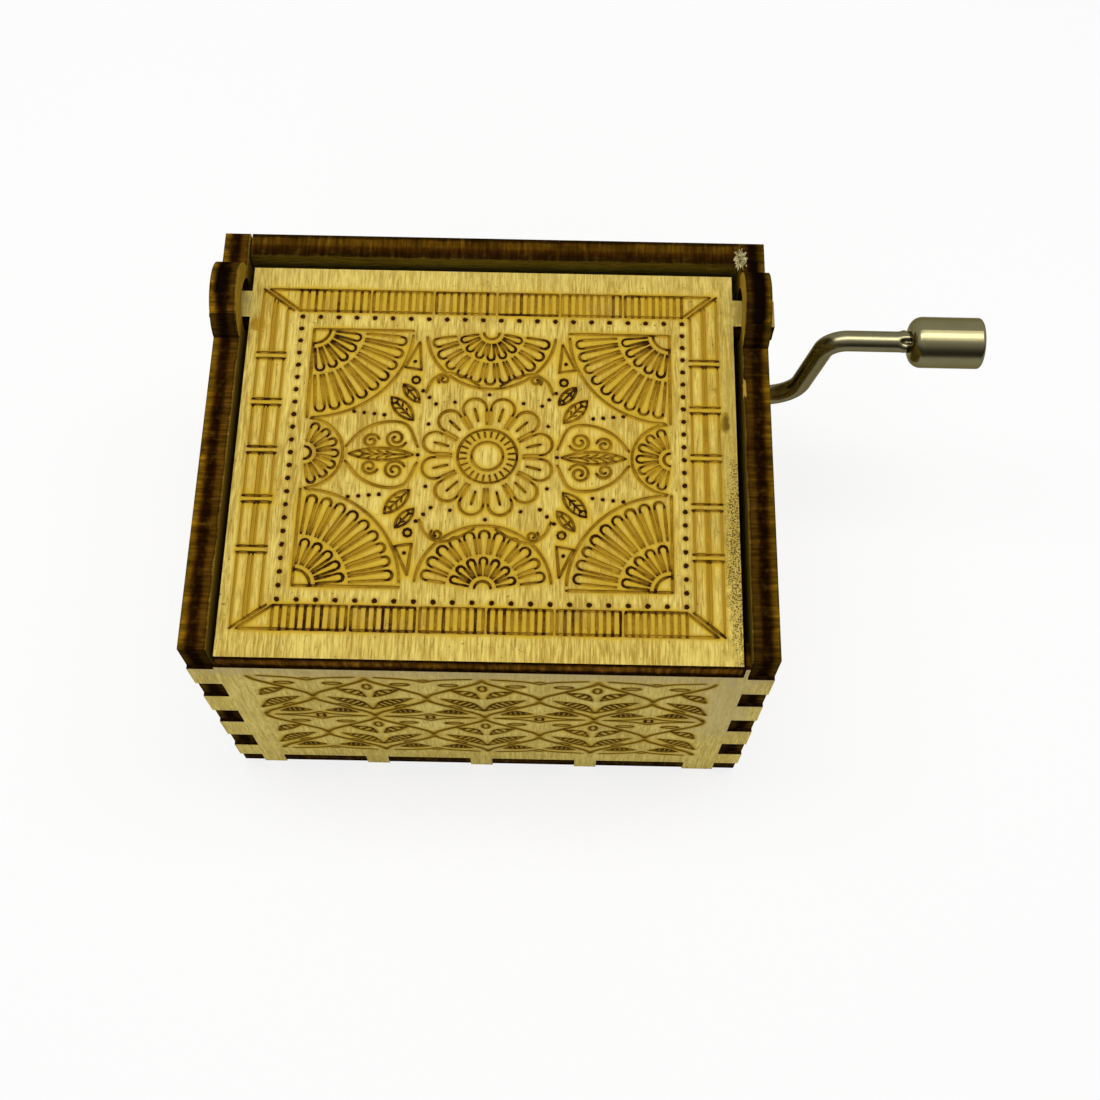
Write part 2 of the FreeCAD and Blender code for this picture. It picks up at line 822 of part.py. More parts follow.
def end_plate(label, inner_face, outer_face, hub_end):
    """A plate pressed into one end of the sleeve, with a hub that keeps it off its bearing."""
    bore = "arbor_radius + press_gap"
    rim = "drum_radius - drum_wall - press_gap"
    profile = [
        (bore, inner_face),
        (rim, inner_face),
        (rim, outer_face),
        ("hub_radius", outer_face),
        ("hub_radius", hub_end),
        (bore, hub_end),
    ]
    return turned_body(label, profile, ("drum_x", "0", "drum_z"))


def drum_front_plate():
    return end_plate("drum_front_plate", "drum_front + plate_thickness", "drum_front", "hub_front")


def drum_back_plate():
    return end_plate("drum_back_plate", "drum_back - plate_thickness", "drum_back", "wheel_front")


def drum_arbor():
    front = "post_back - post_thickness - arbor_overhang"
    back = "frame_back + arbor_overhang"
    profile = [("0", front), ("arbor_radius", front), ("arbor_radius", back), ("0", back)]
    return turned_body("drum_arbor", profile, ("drum_x", "0", "drum_z"))


def drum_wheel():
    """The worm wheel: straight gaps, tilted by the worm's lead angle, with one gap under the worm's axis."""
    body = new_body("drum_wheel")
    blank = new_sketch(body, "XY_Plane", "drum_wheel_blank")
    bore = "arbor_radius + press_gap"
    half = "wheel_width / 2"
    hub_end = "frame_wall_front - end_float - shaft_y"
    draw_polygon(
        blank,
        [
            (bore, f"-{half}"),
            ("wheel_tip_radius", f"-{half}"),
            ("wheel_tip_radius", half),
            ("hub_radius", half),
            ("hub_radius", hub_end),
            (bore, hub_end),
        ],
    )
    turn(body, blank, "V_Axis")
    before = body.Shape.Volume
    gap = new_sketch(body, "XZ_Plane", "drum_wheel_gap")
    gap.AttachmentOffset = FreeCAD.Placement(
        FreeCAD.Vector(0, 0, 0), FreeCAD.Rotation(FreeCAD.Vector(0, -1, 0), number("lead_angle"))
    )
    bind(gap, AttachmentOffset__Rotation__Angle="lead_angle")
    outside = "wheel_tip_radius + gap_overrun"
    draw_polygon(
        gap,
        [
            ("-gap_root_width / 2", "wheel_root_radius"),
            ("gap_root_width / 2", "wheel_root_radius"),
            ("gap_tip_width / 2", outside),
            ("-gap_tip_width / 2", outside),
        ],
    )
    cut = pocket(body, gap)
    teeth = body.newObject("PartDesign::PolarPattern", "Teeth")
    teeth.Originals = [cut]
    teeth.Axis = (blank, ["V_Axis"])
    teeth.Angle = 360.0
    bind(teeth, Occurrences="wheel_teeth")
    body.Tip = teeth
    doc.recompute()
    require_less(body, before)
    move(body, ("drum_x", "shaft_y", "drum_z"))
    return body


# ---------------------------------------------------------------- movement: crank shaft


def along_shaft(body, across="0"):
    """Moves a body whose own X axis is the crank's axis to that axis."""
    move(body, (across, "shaft_y", "shaft_z"))


def ring_on_shaft(label, spans, inner, outer):
    """Rings about the crank's axis, each between two X."""
    rings = []
    for i, (start, end) in enumerate(spans):
        disc = doc.addObject("Part::Cylinder", f"{label}Disc{i}")
        hole = doc.addObject("Part::Cylinder", f"{label}Hole{i}")
        for part, radius in ((disc, outer), (hole, inner)):
            part.Placement.Rotation = FreeCAD.Rotation(FreeCAD.Vector(0, 1, 0), 90)
            bind(part, Radius=radius, Height=f"{end} - ({start})")
            move(part, (start, "shaft_y", "shaft_z"))
        ring = doc.addObject("Part::Cut", f"{label}{i}")
        ring.Base = disc
        ring.Tool = hole
        rings.append(ring)
    return group(label, rings)


def worm_shaft():
    """The shaft, bored at its right end for the crank wire's tenon."""
    body = new_body("worm_shaft")
    sketch = new_sketch(body, "XY_Plane", "worm_shaft_profile")
    bore = "wire_tenon_radius + press_gap"
    floor = "shaft_right - wire_tenon - tenon_gap"
    draw_polygon(
        sketch,
        [
            ("shaft_left", "0"),
            (floor, "0"),
            (floor, bore),
            ("shaft_right", bore),
            ("shaft_right", "shaft_radius"),
            ("shaft_left", "shaft_radius"),
        ],
    )
    turn(body, sketch, "H_Axis")
    along_shaft(body)
    return body


def worm():
    """A right-hand worm with one start. Its thread lies in the wheel's gap at the lowest point."""
    body = new_body("worm")
    core = new_sketch(body, "XY_Plane", "worm_core")
    half = "worm_length / 2"
    draw_rectangle(core, f"-{half}", "shaft_radius + press_gap", half, "worm_core_radius")
    turn(body, core, "H_Axis")
    before = body.Shape.Volume
    thread = new_sketch(body, "XZ_Plane", "worm_thread")
    start = "-worm_pitch * worm_turns / 2"
    root = "-(worm_core_radius - thread_sink)"
    draw_polygon(
        thread,
        [
            (f"{start} - thread_root_width / 2", root),
            (f"{start} - thread_tip_width / 2", "-worm_tip_radius"),
            (f"{start} + thread_tip_width / 2", "-worm_tip_radius"),
            (f"{start} + thread_root_width / 2", root),
        ],
    )
    helix = body.newObject("PartDesign::AdditiveHelix", "Thread")
    helix.Profile = thread
    helix.ReferenceAxis = (thread, ["H_Axis"])
    helix.Mode = "pitch-turns-angle"
    helix.Angle = 0.0
    helix.LeftHanded = False
    helix.Reversed = False
    bind(helix, Pitch="worm_pitch", Turns="worm_turns")
    doc.recompute()
    if not body.Shape.Volume > before:
        raise RuntimeError("the worm has no thread")
    along_shaft(body, "drum_x")
    return body


def shaft_collars():
    """Two collars that hold the shaft endways, one on each side of the right-hand cheek."""
    spans = [
        ("frame_right - wall - end_float - collar_length", "frame_right - wall - end_float"),
        ("frame_right + end_float", "frame_right + end_float + collar_length"),
    ]
    return ring_on_shaft("shaft_collars", spans, "shaft_radius + press_gap", "collar_radius")


def tilt_crank(body):
    """Puts a body drawn with its throw straight up on the crank's axis, at the crank's angle at rest."""
    body.Placement = FreeCAD.Placement(
        FreeCAD.Vector(0, number("shaft_y"), number("shaft_z")),
        FreeCAD.Rotation(FreeCAD.Vector(1, 0, 0), number("crank_tilt")),
    )
    bind(body, Placement__Rotation__Angle="crank_tilt")
    along_shaft(body)


def wire_path(sketch):
    """The wire's centre line: along the axis, up the leg and out along the handle, with two bends."""
    low_corner = FreeCAD.Vector(number("wire_corner_x"), 0, 0)
    high_corner = FreeCAD.Vector(number("wire_corner_x + wire_leg_run"), number("throw"), 0)
    start = FreeCAD.Vector(number("shaft_right"), 0, 0)
    end = FreeCAD.Vector(number("wire_end"), number("throw"), 0)
    for first, last in ((start, low_corner), (low_corner, high_corner), (high_corner, end)):
        sketch.addGeometry(Part.LineSegment(first, last))
    sketch.addConstraint(Sketcher.Constraint("Coincident", 0, 2, 1, 1))
    sketch.addConstraint(Sketcher.Constraint("Coincident", 1, 2, 2, 1))
    locate(sketch, 0, 1, "shaft_right", "0")
    locate(sketch, 0, 2, "wire_corner_x", "0")
    locate(sketch, 2, 1, "wire_corner_x + wire_leg_run", "throw")
    locate(sketch, 2, 2, "wire_end", "throw")
    doc.recompute()
    for first, second, radius in ((0, 1, "low_bend_radius"), (1, 2, "high_bend_radius")):
        sketch.fillet(first, second, *near_corner(sketch, first, second), number(radius), True, True)


def near_corner(sketch, first, second):
    """A point on each of two lines that meet, close to where they meet."""
    share = 0.1
    corner = sketch.Geometry[first].EndPoint
    before = corner + (sketch.Geometry[first].StartPoint - corner) * share
    after = corner + (sketch.Geometry[second].EndPoint - corner) * share
    return before, after


def crank_wire():
    """The bent wire: a tenon in the shaft, the bends, a crimp that keeps the knob out, and its head."""
    body = new_body("crank_wire")
    path = new_sketch(body, "XZ_Plane", "crank_wire_path")
    wire_path(path)
    section = new_sketch(body, "YZ_Plane", "crank_wire_section", "shaft_right")
    draw_circle(section, "0", "0", "wire_radius")
    doc.recompute()
    pipe = body.newObject("PartDesign::AdditivePipe", "Wire")
    pipe.Profile = section
    pipe.Spine = (path, [])
    doc.recompute()
    tenon = new_sketch(body, "YZ_Plane", "crank_wire_tenon", "shaft_right")
    draw_circle(tenon, "0", "0", "wire_tenon_radius")
    pad(body, tenon, "wire_tenon", True)
    head = new_sketch(body, "YZ_Plane", "crank_wire_head", "wire_end")
    draw_circle(head, "0", "throw", "wire_head_radius")
    pad(body, head, "wire_head_length", True)
    ears = new_sketch(body, "XY_Plane", "crank_wire_ears", "throw - crimp_thickness / 2")
    ear_end = "crimp_x + crimp_length"
    draw_polygon(
        ears,
        [
            ("crimp_x - crimp_lean", "0"),
            ("crimp_x", "-crimp_reach"),
            (ear_end + " - crimp_taper", "-crimp_reach"),
            (ear_end, "0"),
            (ear_end + " - crimp_taper", "crimp_reach"),
            ("crimp_x", "crimp_reach"),
        ],
    )
    pad(body, ears, "crimp_thickness")
    crimp_dents(body)
    tilt_crank(body)
    return body


def crimp_dents(body):
    """The two round dents that the crimping tool leaves across the wire, between the ears."""
    dents = new_sketch(body, "XZ_Plane", "crank_wire_dents")
    middle = "crimp_x + crimp_length / 2"
    offset = "(wire_radius - dent_depth + dent_radius)"
    for side in "+-":
        draw_circle(dents, middle, f"throw {side} {offset}", "dent_radius")
    pocket(body, dents)


def crank_knob():
    """The knob, turned hollow: its mouth runs on the wire and its chamber holds the wire's head."""
    body = new_body("crank_knob")
    sketch = new_sketch(body, "XZ_Plane", "crank_knob_profile", "0")
    bind(sketch, AttachmentOffset__Base__y="throw")
    mouth = "wire_radius + running_gap"
    chamber = "wire_head_radius + running_gap"
    shoulder = "knob_left + knob_mouth"
    floor = "knob_right - knob_floor"
    draw_polygon(
        sketch,
        [
            ("knob_left", mouth),
            (shoulder, mouth),
            (shoulder, chamber),
            (floor, chamber),
            (floor, "0"),
            ("knob_right", "0"),
            ("knob_right", "knob_radius"),
            ("knob_left", "knob_radius"),
        ],
    )
    knob = turn(body, sketch, "H_Axis")
    round_rim(body, knob, "knob_left", "knob_inner_round")
    round_rim(body, body.Tip, "knob_right", "knob_outer_round")
    tilt_crank(body)
    return body


def round_rim(body, feature, rim_x, radius):
    """Rounds the knob's outer edge at one end."""
    rims = [
        f"Edge{i}"
        for i, edge in enumerate(feature.Shape.Edges, start=1)
        if hasattr(edge.Curve, "Radius")
        and abs(edge.Curve.Radius - number("knob_radius")) < 1e-3
        and abs(edge.Curve.Center.x - number(rim_x)) < 1e-3
    ]
    rounding = body.newObject("PartDesign::Fillet", "Rim")
    rounding.Base = (feature, rims)
    bind(rounding, Radius=radius)
    doc.recompute()


SUBPARTS = [
    front_panel,
    back_panel,
    left_panel,
    right_panel,
    bottom_panel,
    lid,
    bedplate,
    gear_frame,
    bearing_post,
    comb,
    comb_weights,
    comb_screws,
    comb_washers,
    frame_screws,
    case_screws,
    drum_sleeve,
    drum_pins,
    drum_front_plate,
    drum_back_plate,
    drum_arbor,
    drum_wheel,
    worm_shaft,
    worm,
    shaft_collars,
    crank_wire,
    crank_knob,
]


def check(subparts):
    """Stops at a failed object or an unsound shape, so that nothing wrong is written."""
    for item in doc.Objects:
        if "Invalid" in item.State or "Error" in item.State:
            raise RuntimeError(f"{item.Label} failed: {item.State}")
    for item in subparts:
        if item.Shape.isNull() or not item.Shape.isValid():
            raise RuntimeError(f"{item.Label} has no sound shape")


def export(subparts):
    os.makedirs("parts", exist_ok=True)
    for item in subparts:
        item.Shape.exportStep(os.path.join("parts", item.Label + ".step"))
        box = item.Shape.BoundBox
        size = f"{box.XLength:.2f} x {box.YLength:.2f} x {box.ZLength:.2f} mm"
        print(f"{item.Label}: {len(item.Shape.Solids)} solids, {item.Shape.Volume:.2f} mm3, {size}")


fill_sheet()
finished = [make() for make in SUBPARTS]
doc.recompute()
check(finished)
export(finished)
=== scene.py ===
import json
import math
import random

import bmesh
import bpy
import numpy as np
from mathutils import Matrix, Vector
from mathutils.geometry import delaunay_2d_cdt


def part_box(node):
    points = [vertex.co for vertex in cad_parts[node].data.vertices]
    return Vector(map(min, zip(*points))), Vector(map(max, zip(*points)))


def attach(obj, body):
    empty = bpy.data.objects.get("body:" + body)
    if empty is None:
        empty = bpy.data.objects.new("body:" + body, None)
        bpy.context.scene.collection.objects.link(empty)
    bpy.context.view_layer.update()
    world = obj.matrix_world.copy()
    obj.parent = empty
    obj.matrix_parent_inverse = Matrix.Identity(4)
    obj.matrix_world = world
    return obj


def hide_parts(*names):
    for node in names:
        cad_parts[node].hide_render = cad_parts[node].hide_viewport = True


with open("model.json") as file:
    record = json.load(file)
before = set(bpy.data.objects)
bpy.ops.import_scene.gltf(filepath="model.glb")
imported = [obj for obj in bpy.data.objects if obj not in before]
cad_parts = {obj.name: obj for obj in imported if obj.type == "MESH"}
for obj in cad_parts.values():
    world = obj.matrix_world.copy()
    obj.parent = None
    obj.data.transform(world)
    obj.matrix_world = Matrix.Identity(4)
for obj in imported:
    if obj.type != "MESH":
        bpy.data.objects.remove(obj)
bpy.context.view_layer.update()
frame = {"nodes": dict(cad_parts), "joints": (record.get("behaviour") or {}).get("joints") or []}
SCENE = bpy.context.scene
MM = 0.001
SEED = 7

# ---------------------------------------------------------------- sizes in millimetres, angles in degrees

PLY = 3.0
LID_LOW, LID_HIGH = (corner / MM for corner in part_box("lid"))
FRONT_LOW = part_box("front_panel")[0] / MM
BACK_LOW, BACK_HIGH = (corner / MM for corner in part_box("back_panel"))
LEFT_LOW, LEFT_HIGH = (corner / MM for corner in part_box("left_panel"))
RIGHT_LOW, RIGHT_HIGH = (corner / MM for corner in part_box("right_panel"))

# the grooves, and the mesh of an engraved face: its grid, and rows of points beside each groove
GROOVE_DEPTH = 0.16
LINE = 0.34
DOT_RADIUS = 0.31
DOT_SIDES = 12
GRID = 0.55
STEP = 0.3
CURVE_STEP = 0.4
HALO = (0.14, 0.4)
RIM_CLEARANCE = 0.3
GROOVE_CLEARANCE = 0.07
SAME_POINT = 1e-5

# how far the laser's heat reaches around a groove and its ends, and how much it browns the wood
WARM_REACH = 0.52
LEAST_HEAT, BURN_HEAT = 0.35, 0.9
DWELL_REACH = 0.3
DWELL_BURN = 0.45
CHAR_REACH = 0.17
# heat is summed cell by cell, from the strokes near the cell; wood that is far from one stays bare
HEAT_CELL, HEAT_REACH, FAR = 2.0, 1.4, 2.0

# the material slots of a panel
VENEER, EDGE, GROOVE, INNER, FRONT_EDGE = range(5)

# the lid's engraved border: corners of its outer and inner frame, (left, front, right, back)
FRAME_OUT = (-27.0, -22.95, 26.3, 19.65)
FRAME_IN = (-23.3, -20.2, 22.95, 16.8)
MITRE_GAP = 0.75
SEPARATOR_X = 0.5
RIB_GROUP = 7.4
RIB_GROUP_GAP = 0.55
RIB_PITCH = 0.88
BACK_RIB_BURN, FRONT_RIB_BURN, RIB_UNEVEN = 0.38, 0.6, 0.3
RAIL_BURN, END_RAIL_BURN = 0.45, 0.4
SEPARATOR_Y = -1.5
BRICK_PITCH = 6.1
BRICK_GAP = 0.76
BRICK_OVERHANG = 0.15
BRICK_END_GAP = 0.3
LEFT_BRICK = (-26.95, -25.65, -25.25, -23.97)
RIGHT_BRICK = (23.16, 24.55, 24.85, 26.23)
BEAD_CENTRE = (0.0, -1.76)
BEAD_REACH = (22.2, 17.75)
BEAD_COUNT = (21, 22)

# the lid's field: half its width and depth, and its ornament, measured from its middle
FIELD_CENTRE = (0.0, -1.77)
FIELD = (20.7, 16.1)
MIDDLE = (0, 0)
PETALS = 12
ROSETTE = 7.5
HEART, COLLAR = 1.78, 3.35
PETAL_ROOT, PETAL_MIDRIB = 4.1, (4.6, 6.2)
PETAL_SPLIT, PETAL_DOT = 2.4, ROSETTE + 0.35
DASH_MIDDLE = ROSETTE * 0.37
DASH = (DASH_MIDDLE - 0.35, DASH_MIDDLE + 0.3)
SMALL_DOT = 0.24

# the shells' tiers of petals, each (inner radius, outer radius, count), and the rims around them
CORNER_TIERS, CORNER_RIM = [(2.6, 5.6, 5), (6.2, 10.9, 9)], 11.6
SIDE_TIERS, SIDE_RIM = [(1.5, 3.9, 7)], 4.4
END_TIERS, END_RIM = [(1.6, 3.7, 7), (4.2, 6.9, 11)], 7.5
CORNER_SPREAD, EDGE_SPREAD = 84, 168
SHELL_ROOT = 0.7
PETAL_GAP = 0.3

# two waves beside the rosette
SIDE_WAVE = [(7.9, 1.0), (9.2, 3.7), (11.6, 4.1), (14.2, 3.0), (16.0, 0.9)]
TOP_WAVE = [(1.2, 9.0), (3.0, 10.1), (5.0, 10.6), (6.6, 9.6), (7.3, 8.0)]

# the walls' engraved lattice: its widths on the long and the short walls, its heights and its ogees
LONG_LATTICE, SHORT_LATTICE = 51.6, 43.0
LATTICE_LOW, LATTICE_HIGH = 6.3, 35.1
LATTICE_PITCH = 12.9
LATTICE_ROW = 7.2
OGEE = [(0.0, 0.97), (0.1, 0.8), (0.45, 0.54), (0.9, 0.2), (1.0, 0.03)]
CRANK_CLEARANCE = 3.0
SHORT_STROKE = 3.3

# the crank's bent wire, with the same corners and bends as its CAD node
WIRE_RADIUS = 1.25
WIRE_START, WIRE_CORNER, WIRE_END = 27.5, 38.0, 55.9
WIRE_LEG_RUN = 2.24
WIRE_BENDS = (4.5, 2.8)
TENON_LENGTH, TENON_RADIUS = 6.0, 1.0
HEAD_LENGTH, HEAD_RADIUS = 0.9, 1.75
WIRE_STEP = 0.2
WIRE_SIDES = 64
SHARP_ANGLE = 50

# the crimp that keeps the knob from sliding inwards: ears at the sides, dents above and below
EAR_X, EAR_HALF = 49.15, 0.4
EAR_RISE, EAR_ANGLE, EAR_SPREAD = 0.2, 76, 30
DENT_X, DENT_HALF = 49.45, 0.75
DENT_SINK, DENT_ANGLE, DENT_SPREAD = 0.4, 27, 17

# lumps that lie on the case's top edges: middle, half their length and width, and height
GLUE_PLACE, GLUE_REACH, GLUE_HEIGHT = (29.2, 24.2, 42.0), (1.1, 2.1), 0.4
SPLINTER_PLACE, SPLINTER_REACH, SPLINTER_HEIGHT = (29.12, 6.8, 42.0), (0.34, 1.7), 0.16
SUNK = 0.06

# ---------------------------------------------------------------- camera and studio, in metres

CAMERA_PLACE = (0.006972, -0.079952, 0.19722)
CAMERA_TURN = (23.106, -0.541, 1.015)
CAMERA_LENS, CAMERA_SENSOR = 50.75, 36.0
CAMERA_CLIP = (0.005, 20.0)

WORLD_LIGHT = 0.36
FLOOR_REACH = 3.0
FLOOR_DROP = 0.00002
FLOOR_GLOW = 0.8

# lamps: name, place, target, size across and along, and power in watts
GLINT = ("glint", (0.0, 0.03, 0.345), (0.0, 0.03, 0.0), (0.5, 0.24), 0.9)
KEY = ("key", (0.0, 0.03, 0.34), (0.0, 0.03, 0.0), (0.4, 0.1), 0.75)
FILL = ("fill", (-0.1, -0.5, 0.3), (0, 0, 0.02), (0.5, 0.3), 0.5)

# the card that reflections see: half its width, its place in front, its height and its grey upwards
CARD_SIDE, CARD_FRONT, CARD_TOP = 1.0, -0.12, 0.33
CARD_SHADES = [(0.0, 0.8), (0.05, 0.6), (0.09, 0.12), (0.2, 0.04)]
CARD_SHADES += [(0.33, 0.14), (0.48, 0.5), (0.75, 0.78), (1.0, 1.0)]

# ---------------------------------------------------------------- strokes
# A stroke is (points, width, burn): a line burnt into the wood, in millimetres on the face.
# Burn runs from 0, a light brown line, to 1, a nearly black one.


def turned(point, degrees, centre=(0.0, 0.0)):
    """A point turned about the origin and then moved by the centre."""
    c, s = math.cos(math.radians(degrees)), math.sin(math.radians(degrees))
    return (centre[0] + point[0] * c - point[1] * s, centre[1] + point[0] * s + point[1] * c)


def polar(centre, radius, degrees):
    return turned((radius, 0), degrees, centre)


def line(start, end, width=LINE, burn=0.5):
    return ([start, end], width, burn)


def spoke(reach, degrees, width=LINE, burn=0.5):
    """A line that points away from the middle, between two radii."""
    return line(polar(MIDDLE, reach[0], degrees), polar(MIDDLE, reach[1], degrees), width, burn)


def bead(centre, radius=DOT_RADIUS, burn=0.95):
    """A burnt dot: a stroke of one point."""
    return ([centre], 2 * radius, burn)


def arc(centre, radius, start, end, burn=0.5, step=CURVE_STEP):
    """Part of a circle, between two angles in degrees."""
    count = max(2, int(abs(math.radians(end - start)) * radius / step) + 1)
    angles = np.radians(np.linspace(start, end, count + 1))
    points = [(centre[0] + radius * math.cos(a), centre[1] + radius * math.sin(a)) for a in angles]
    return (points, LINE, burn)


def ring(centre, radius, burn=0.5):
    """A whole circle, as two halves that meet."""
    return [arc(centre, radius, 0, 180, burn), arc(centre, radius, 180, 360, burn)]


def oval(centre, across, up, turn=0.0, burn=0.5, count=14):
    """An ellipse, as two halves, turned by an angle in degrees."""
    halves = []
    for first in (0, 180):
        points = []
        for a in np.radians(np.linspace(first, first + 180, count)):
            points.append(turned((across * math.cos(a), up * math.sin(a)), turn, centre))
        halves.append((points, LINE, burn))
    return halves


def spiral(centre, outer, inner, start, turns, burn=0.55, points_per_turn=20):
    """A volute that winds inwards from the outer radius, starting at an angle in degrees."""
    count = int(abs(turns) * points_per_turn)
    points = []
    for i in range(count + 1):
        share = i / count
        radius = outer + (inner - outer) * share
        angle = math.radians(start + 360 * turns * share)
        points.append((centre[0] + radius * math.cos(angle), centre[1] + radius * math.sin(angle)))
    return (points, LINE, burn)


def curve(points, width=LINE, burn=0.5):
    """A smooth line through the points: a Catmull-Rom spline."""
    ends = [np.array(p, float) for p in points]
    ends = [2 * ends[0] - ends[1]] + ends + [2 * ends[-1] - ends[-2]]
    path = []
    for a, b, c, d in zip(ends, ends[1:], ends[2:], ends[3:]):
        bend, twist = 2 * a - 5 * b + 4 * c - d, 3 * b - a - 3 * c + d
        count = max(2, int(np.linalg.norm(c - b) / CURVE_STEP))
        for i in range(count):
            t = i / count
            path.append(tuple(0.5 * (2 * b + (c - a) * t + bend * t**2 + twist * t**3)))
    path.append(tuple(ends[-2]))
    return (path, width, burn)


def leaf(base, tip, half_width, veins, burn=0.55):
    """A pointed leaf: two bowed sides, a midrib and slanted veins."""
    fullness, rib_start, rib_end = 0.8, 0.12, 0.8
    first_vein, vein_run, vein_slant, vein_reach = 0.3, 0.42, 0.12, 0.62
    base, tip = np.array(base, float), np.array(tip, float)
    along = tip - base
    across = np.array((-along[1], along[0])) / np.linalg.norm(along)
    strokes = []
    for side in (1, -1):
        points = []
        for t in np.linspace(0, 1, 9):
            bow = across * side * half_width * math.sin(math.pi * t) ** fullness
            points.append(tuple(base + along * t + bow))
        strokes.append((points, LINE, burn))
    strokes.append(line(tuple(base + along * rib_start), tuple(base + along * rib_end), LINE * 0.8, burn))
    for i in range(veins):
        t = first_vein + vein_run * i / max(1, veins - 1)
        reach = half_width * vein_reach * math.sin(math.pi * t)
        for side in (1, -1):
            start = base + along * t
            end = base + along * (t + vein_slant) + across * side * reach
            strokes.append(line(tuple(start), tuple(end), LINE * 0.75, burn))
    return strokes


def mirrored(strokes):
    """The strokes, with their mirror images about both axes."""
    result = []
    for a, b in ((1, 1), (-1, 1), (1, -1), (-1, -1)):
        result += [([(x * a, y * b) for x, y in points], width, burn) for points, width, burn in strokes]
    return result


def shifted(strokes, across, up):
    return [([(x + across, y + up) for x, y in points], width, burn) for points, width, burn in strokes]


def uneven_burn(strokes, spread=0.14):
    """The strokes, some burnt a little more and some less."""
    return [(points, width, burn + random.uniform(-spread, spread)) for points, width, burn in strokes]


def densified(strokes):
    """The same strokes with more points, so that they can be clipped."""
    result = []
    for points, width, burn in strokes:
        fine = [points[0]]
        for a, b in zip(points, points[1:]):
            count = max(1, round(math.dist(a, b) / STEP))
            for i in range(1, count + 1):
                fine.append((a[0] + (b[0] - a[0]) * i / count, a[1] + (b[1] - a[1]) * i / count))
        result.append((fine, width, burn))
    return result


def clipped(strokes, inside):
    """The stretches of the strokes whose points are inside. A short stroke is kept whole or left out."""
    kept = []
    for points, width, burn in strokes:
        length = sum(math.dist(a, b) for a, b in zip(points, points[1:]))
        if length < SHORT_STROKE and not all(inside(p) for p in points):
            continue
        run = []
        for point in points + [None]:
            if point is not None and inside(point):
                run.append(point)
            else:
                if len(run) > 1 or (run and len(points) == 1):
                    kept.append((run, width, burn))
                run = []
    return kept


# ---------------------------------------------------------------- the lid's engraved design


def lid_border():
    """Mitred bands: ribs at the front and back, split bricks at the sides, and a row of beads."""
    left, front, right, back = FRAME_IN
    out_left, out_front, out_right, out_back = FRAME_OUT
    strokes = rib_band(back, out_back, BACK_RIB_BURN) + rib_band(front, out_front, FRONT_RIB_BURN)
    strokes += brick_column(LEFT_BRICK, left, out_left) + brick_column(RIGHT_BRICK, right, out_right)
    for x, out_x, shift in ((left, out_left, MITRE_GAP), (right, out_right, -MITRE_GAP)):
        for y, out_y in ((front, out_front), (back, out_back)):
            strokes.append(line((x, y), (out_x, out_y)))
            strokes.append(line((x + shift, y), (out_x + shift, out_y)))
    return strokes + beads()


def rib_band(near, far, burn):
    """One long band of ribs, from the frame's inner line to its outer one, in groups with gaps."""
    half = RIB_GROUP_GAP / 2
    gaps = [SEPARATOR_X + RIB_GROUP * i for i in range(-2, 3)]
    strokes = []
    for left, right in zip(gaps, gaps[1:]):
        strokes += ribs(left + half, right - half, right - half, near, far, burn, RAIL_BURN)
    near_end, far_end = FRAME_IN[0] + MITRE_GAP, FRAME_OUT[0] + MITRE_GAP
    strokes += ribs(gaps[0] - half, near_end, far_end, near, far, burn, END_RAIL_BURN)
    near_end, far_end = FRAME_IN[2] - MITRE_GAP, FRAME_OUT[2] - MITRE_GAP
    strokes += ribs(gaps[-1] + half, near_end, far_end, near, far, burn, END_RAIL_BURN)
    return uneven_burn(strokes, RIB_UNEVEN)


def ribs(start, near_end, far_end, near, far, burn, rail_burn):
    """A group of ribs between two rails, which run from the start to an end of their own."""
    strokes = [line((start, near), (near_end, near), burn=rail_burn)]
    strokes.append(line((start, far), (far_end, far), burn=rail_burn))
    count = round(abs(near_end - start) / RIB_PITCH)
    for i in range(count + 1):
        x = start + (near_end - start) * i / count
        strokes.append(line((x, near), (x, far), burn=burn))
    return strokes


def brick_column(edges, near, far):
    """A side band: tall bricks split down the middle, and longer ones that end at the mitres."""
    half = BRICK_GAP / 2
    gaps = [SEPARATOR_Y + BRICK_PITCH * i for i in range(-2, 3)]
    strokes = []
    for low, high in zip(gaps, gaps[1:]):
        strokes += [brick_side(x, low + half, high - half) for x in edges]
    for x in edges:
        share = (x - near) / (far - near)
        front = FRAME_IN[1] + (FRAME_OUT[1] - FRAME_IN[1]) * share
        back = FRAME_IN[3] + (FRAME_OUT[3] - FRAME_IN[3]) * share
        strokes.append(brick_side(x, front + BRICK_END_GAP, gaps[0] - half))
        strokes.append(brick_side(x, gaps[-1] + half, back - BRICK_END_GAP))
    for gap in gaps:
        for y in (gap - half, gap + half):
            strokes.append(line((edges[0] - BRICK_OVERHANG, y), (edges[-1] + BRICK_OVERHANG, y)))
    return strokes


def brick_side(x, low, high):
    return line((x, low), (x, high), LINE * 0.75, burn=0.06)


def beads():
    """The row of burnt dots inside the bands."""
    across, up = BEAD_REACH
    places = []
    for i in range(BEAD_COUNT[0] + 1):
        x = -across + 2 * across * i / BEAD_COUNT[0]
        places += [(x, up), (x, -up)]
    for i in range(1, BEAD_COUNT[1]):
        y = -up + 2 * up * i / BEAD_COUNT[1]
        places += [(across, y), (-across, y)]
    return shifted([bead(place) for place in places], *BEAD_CENTRE)


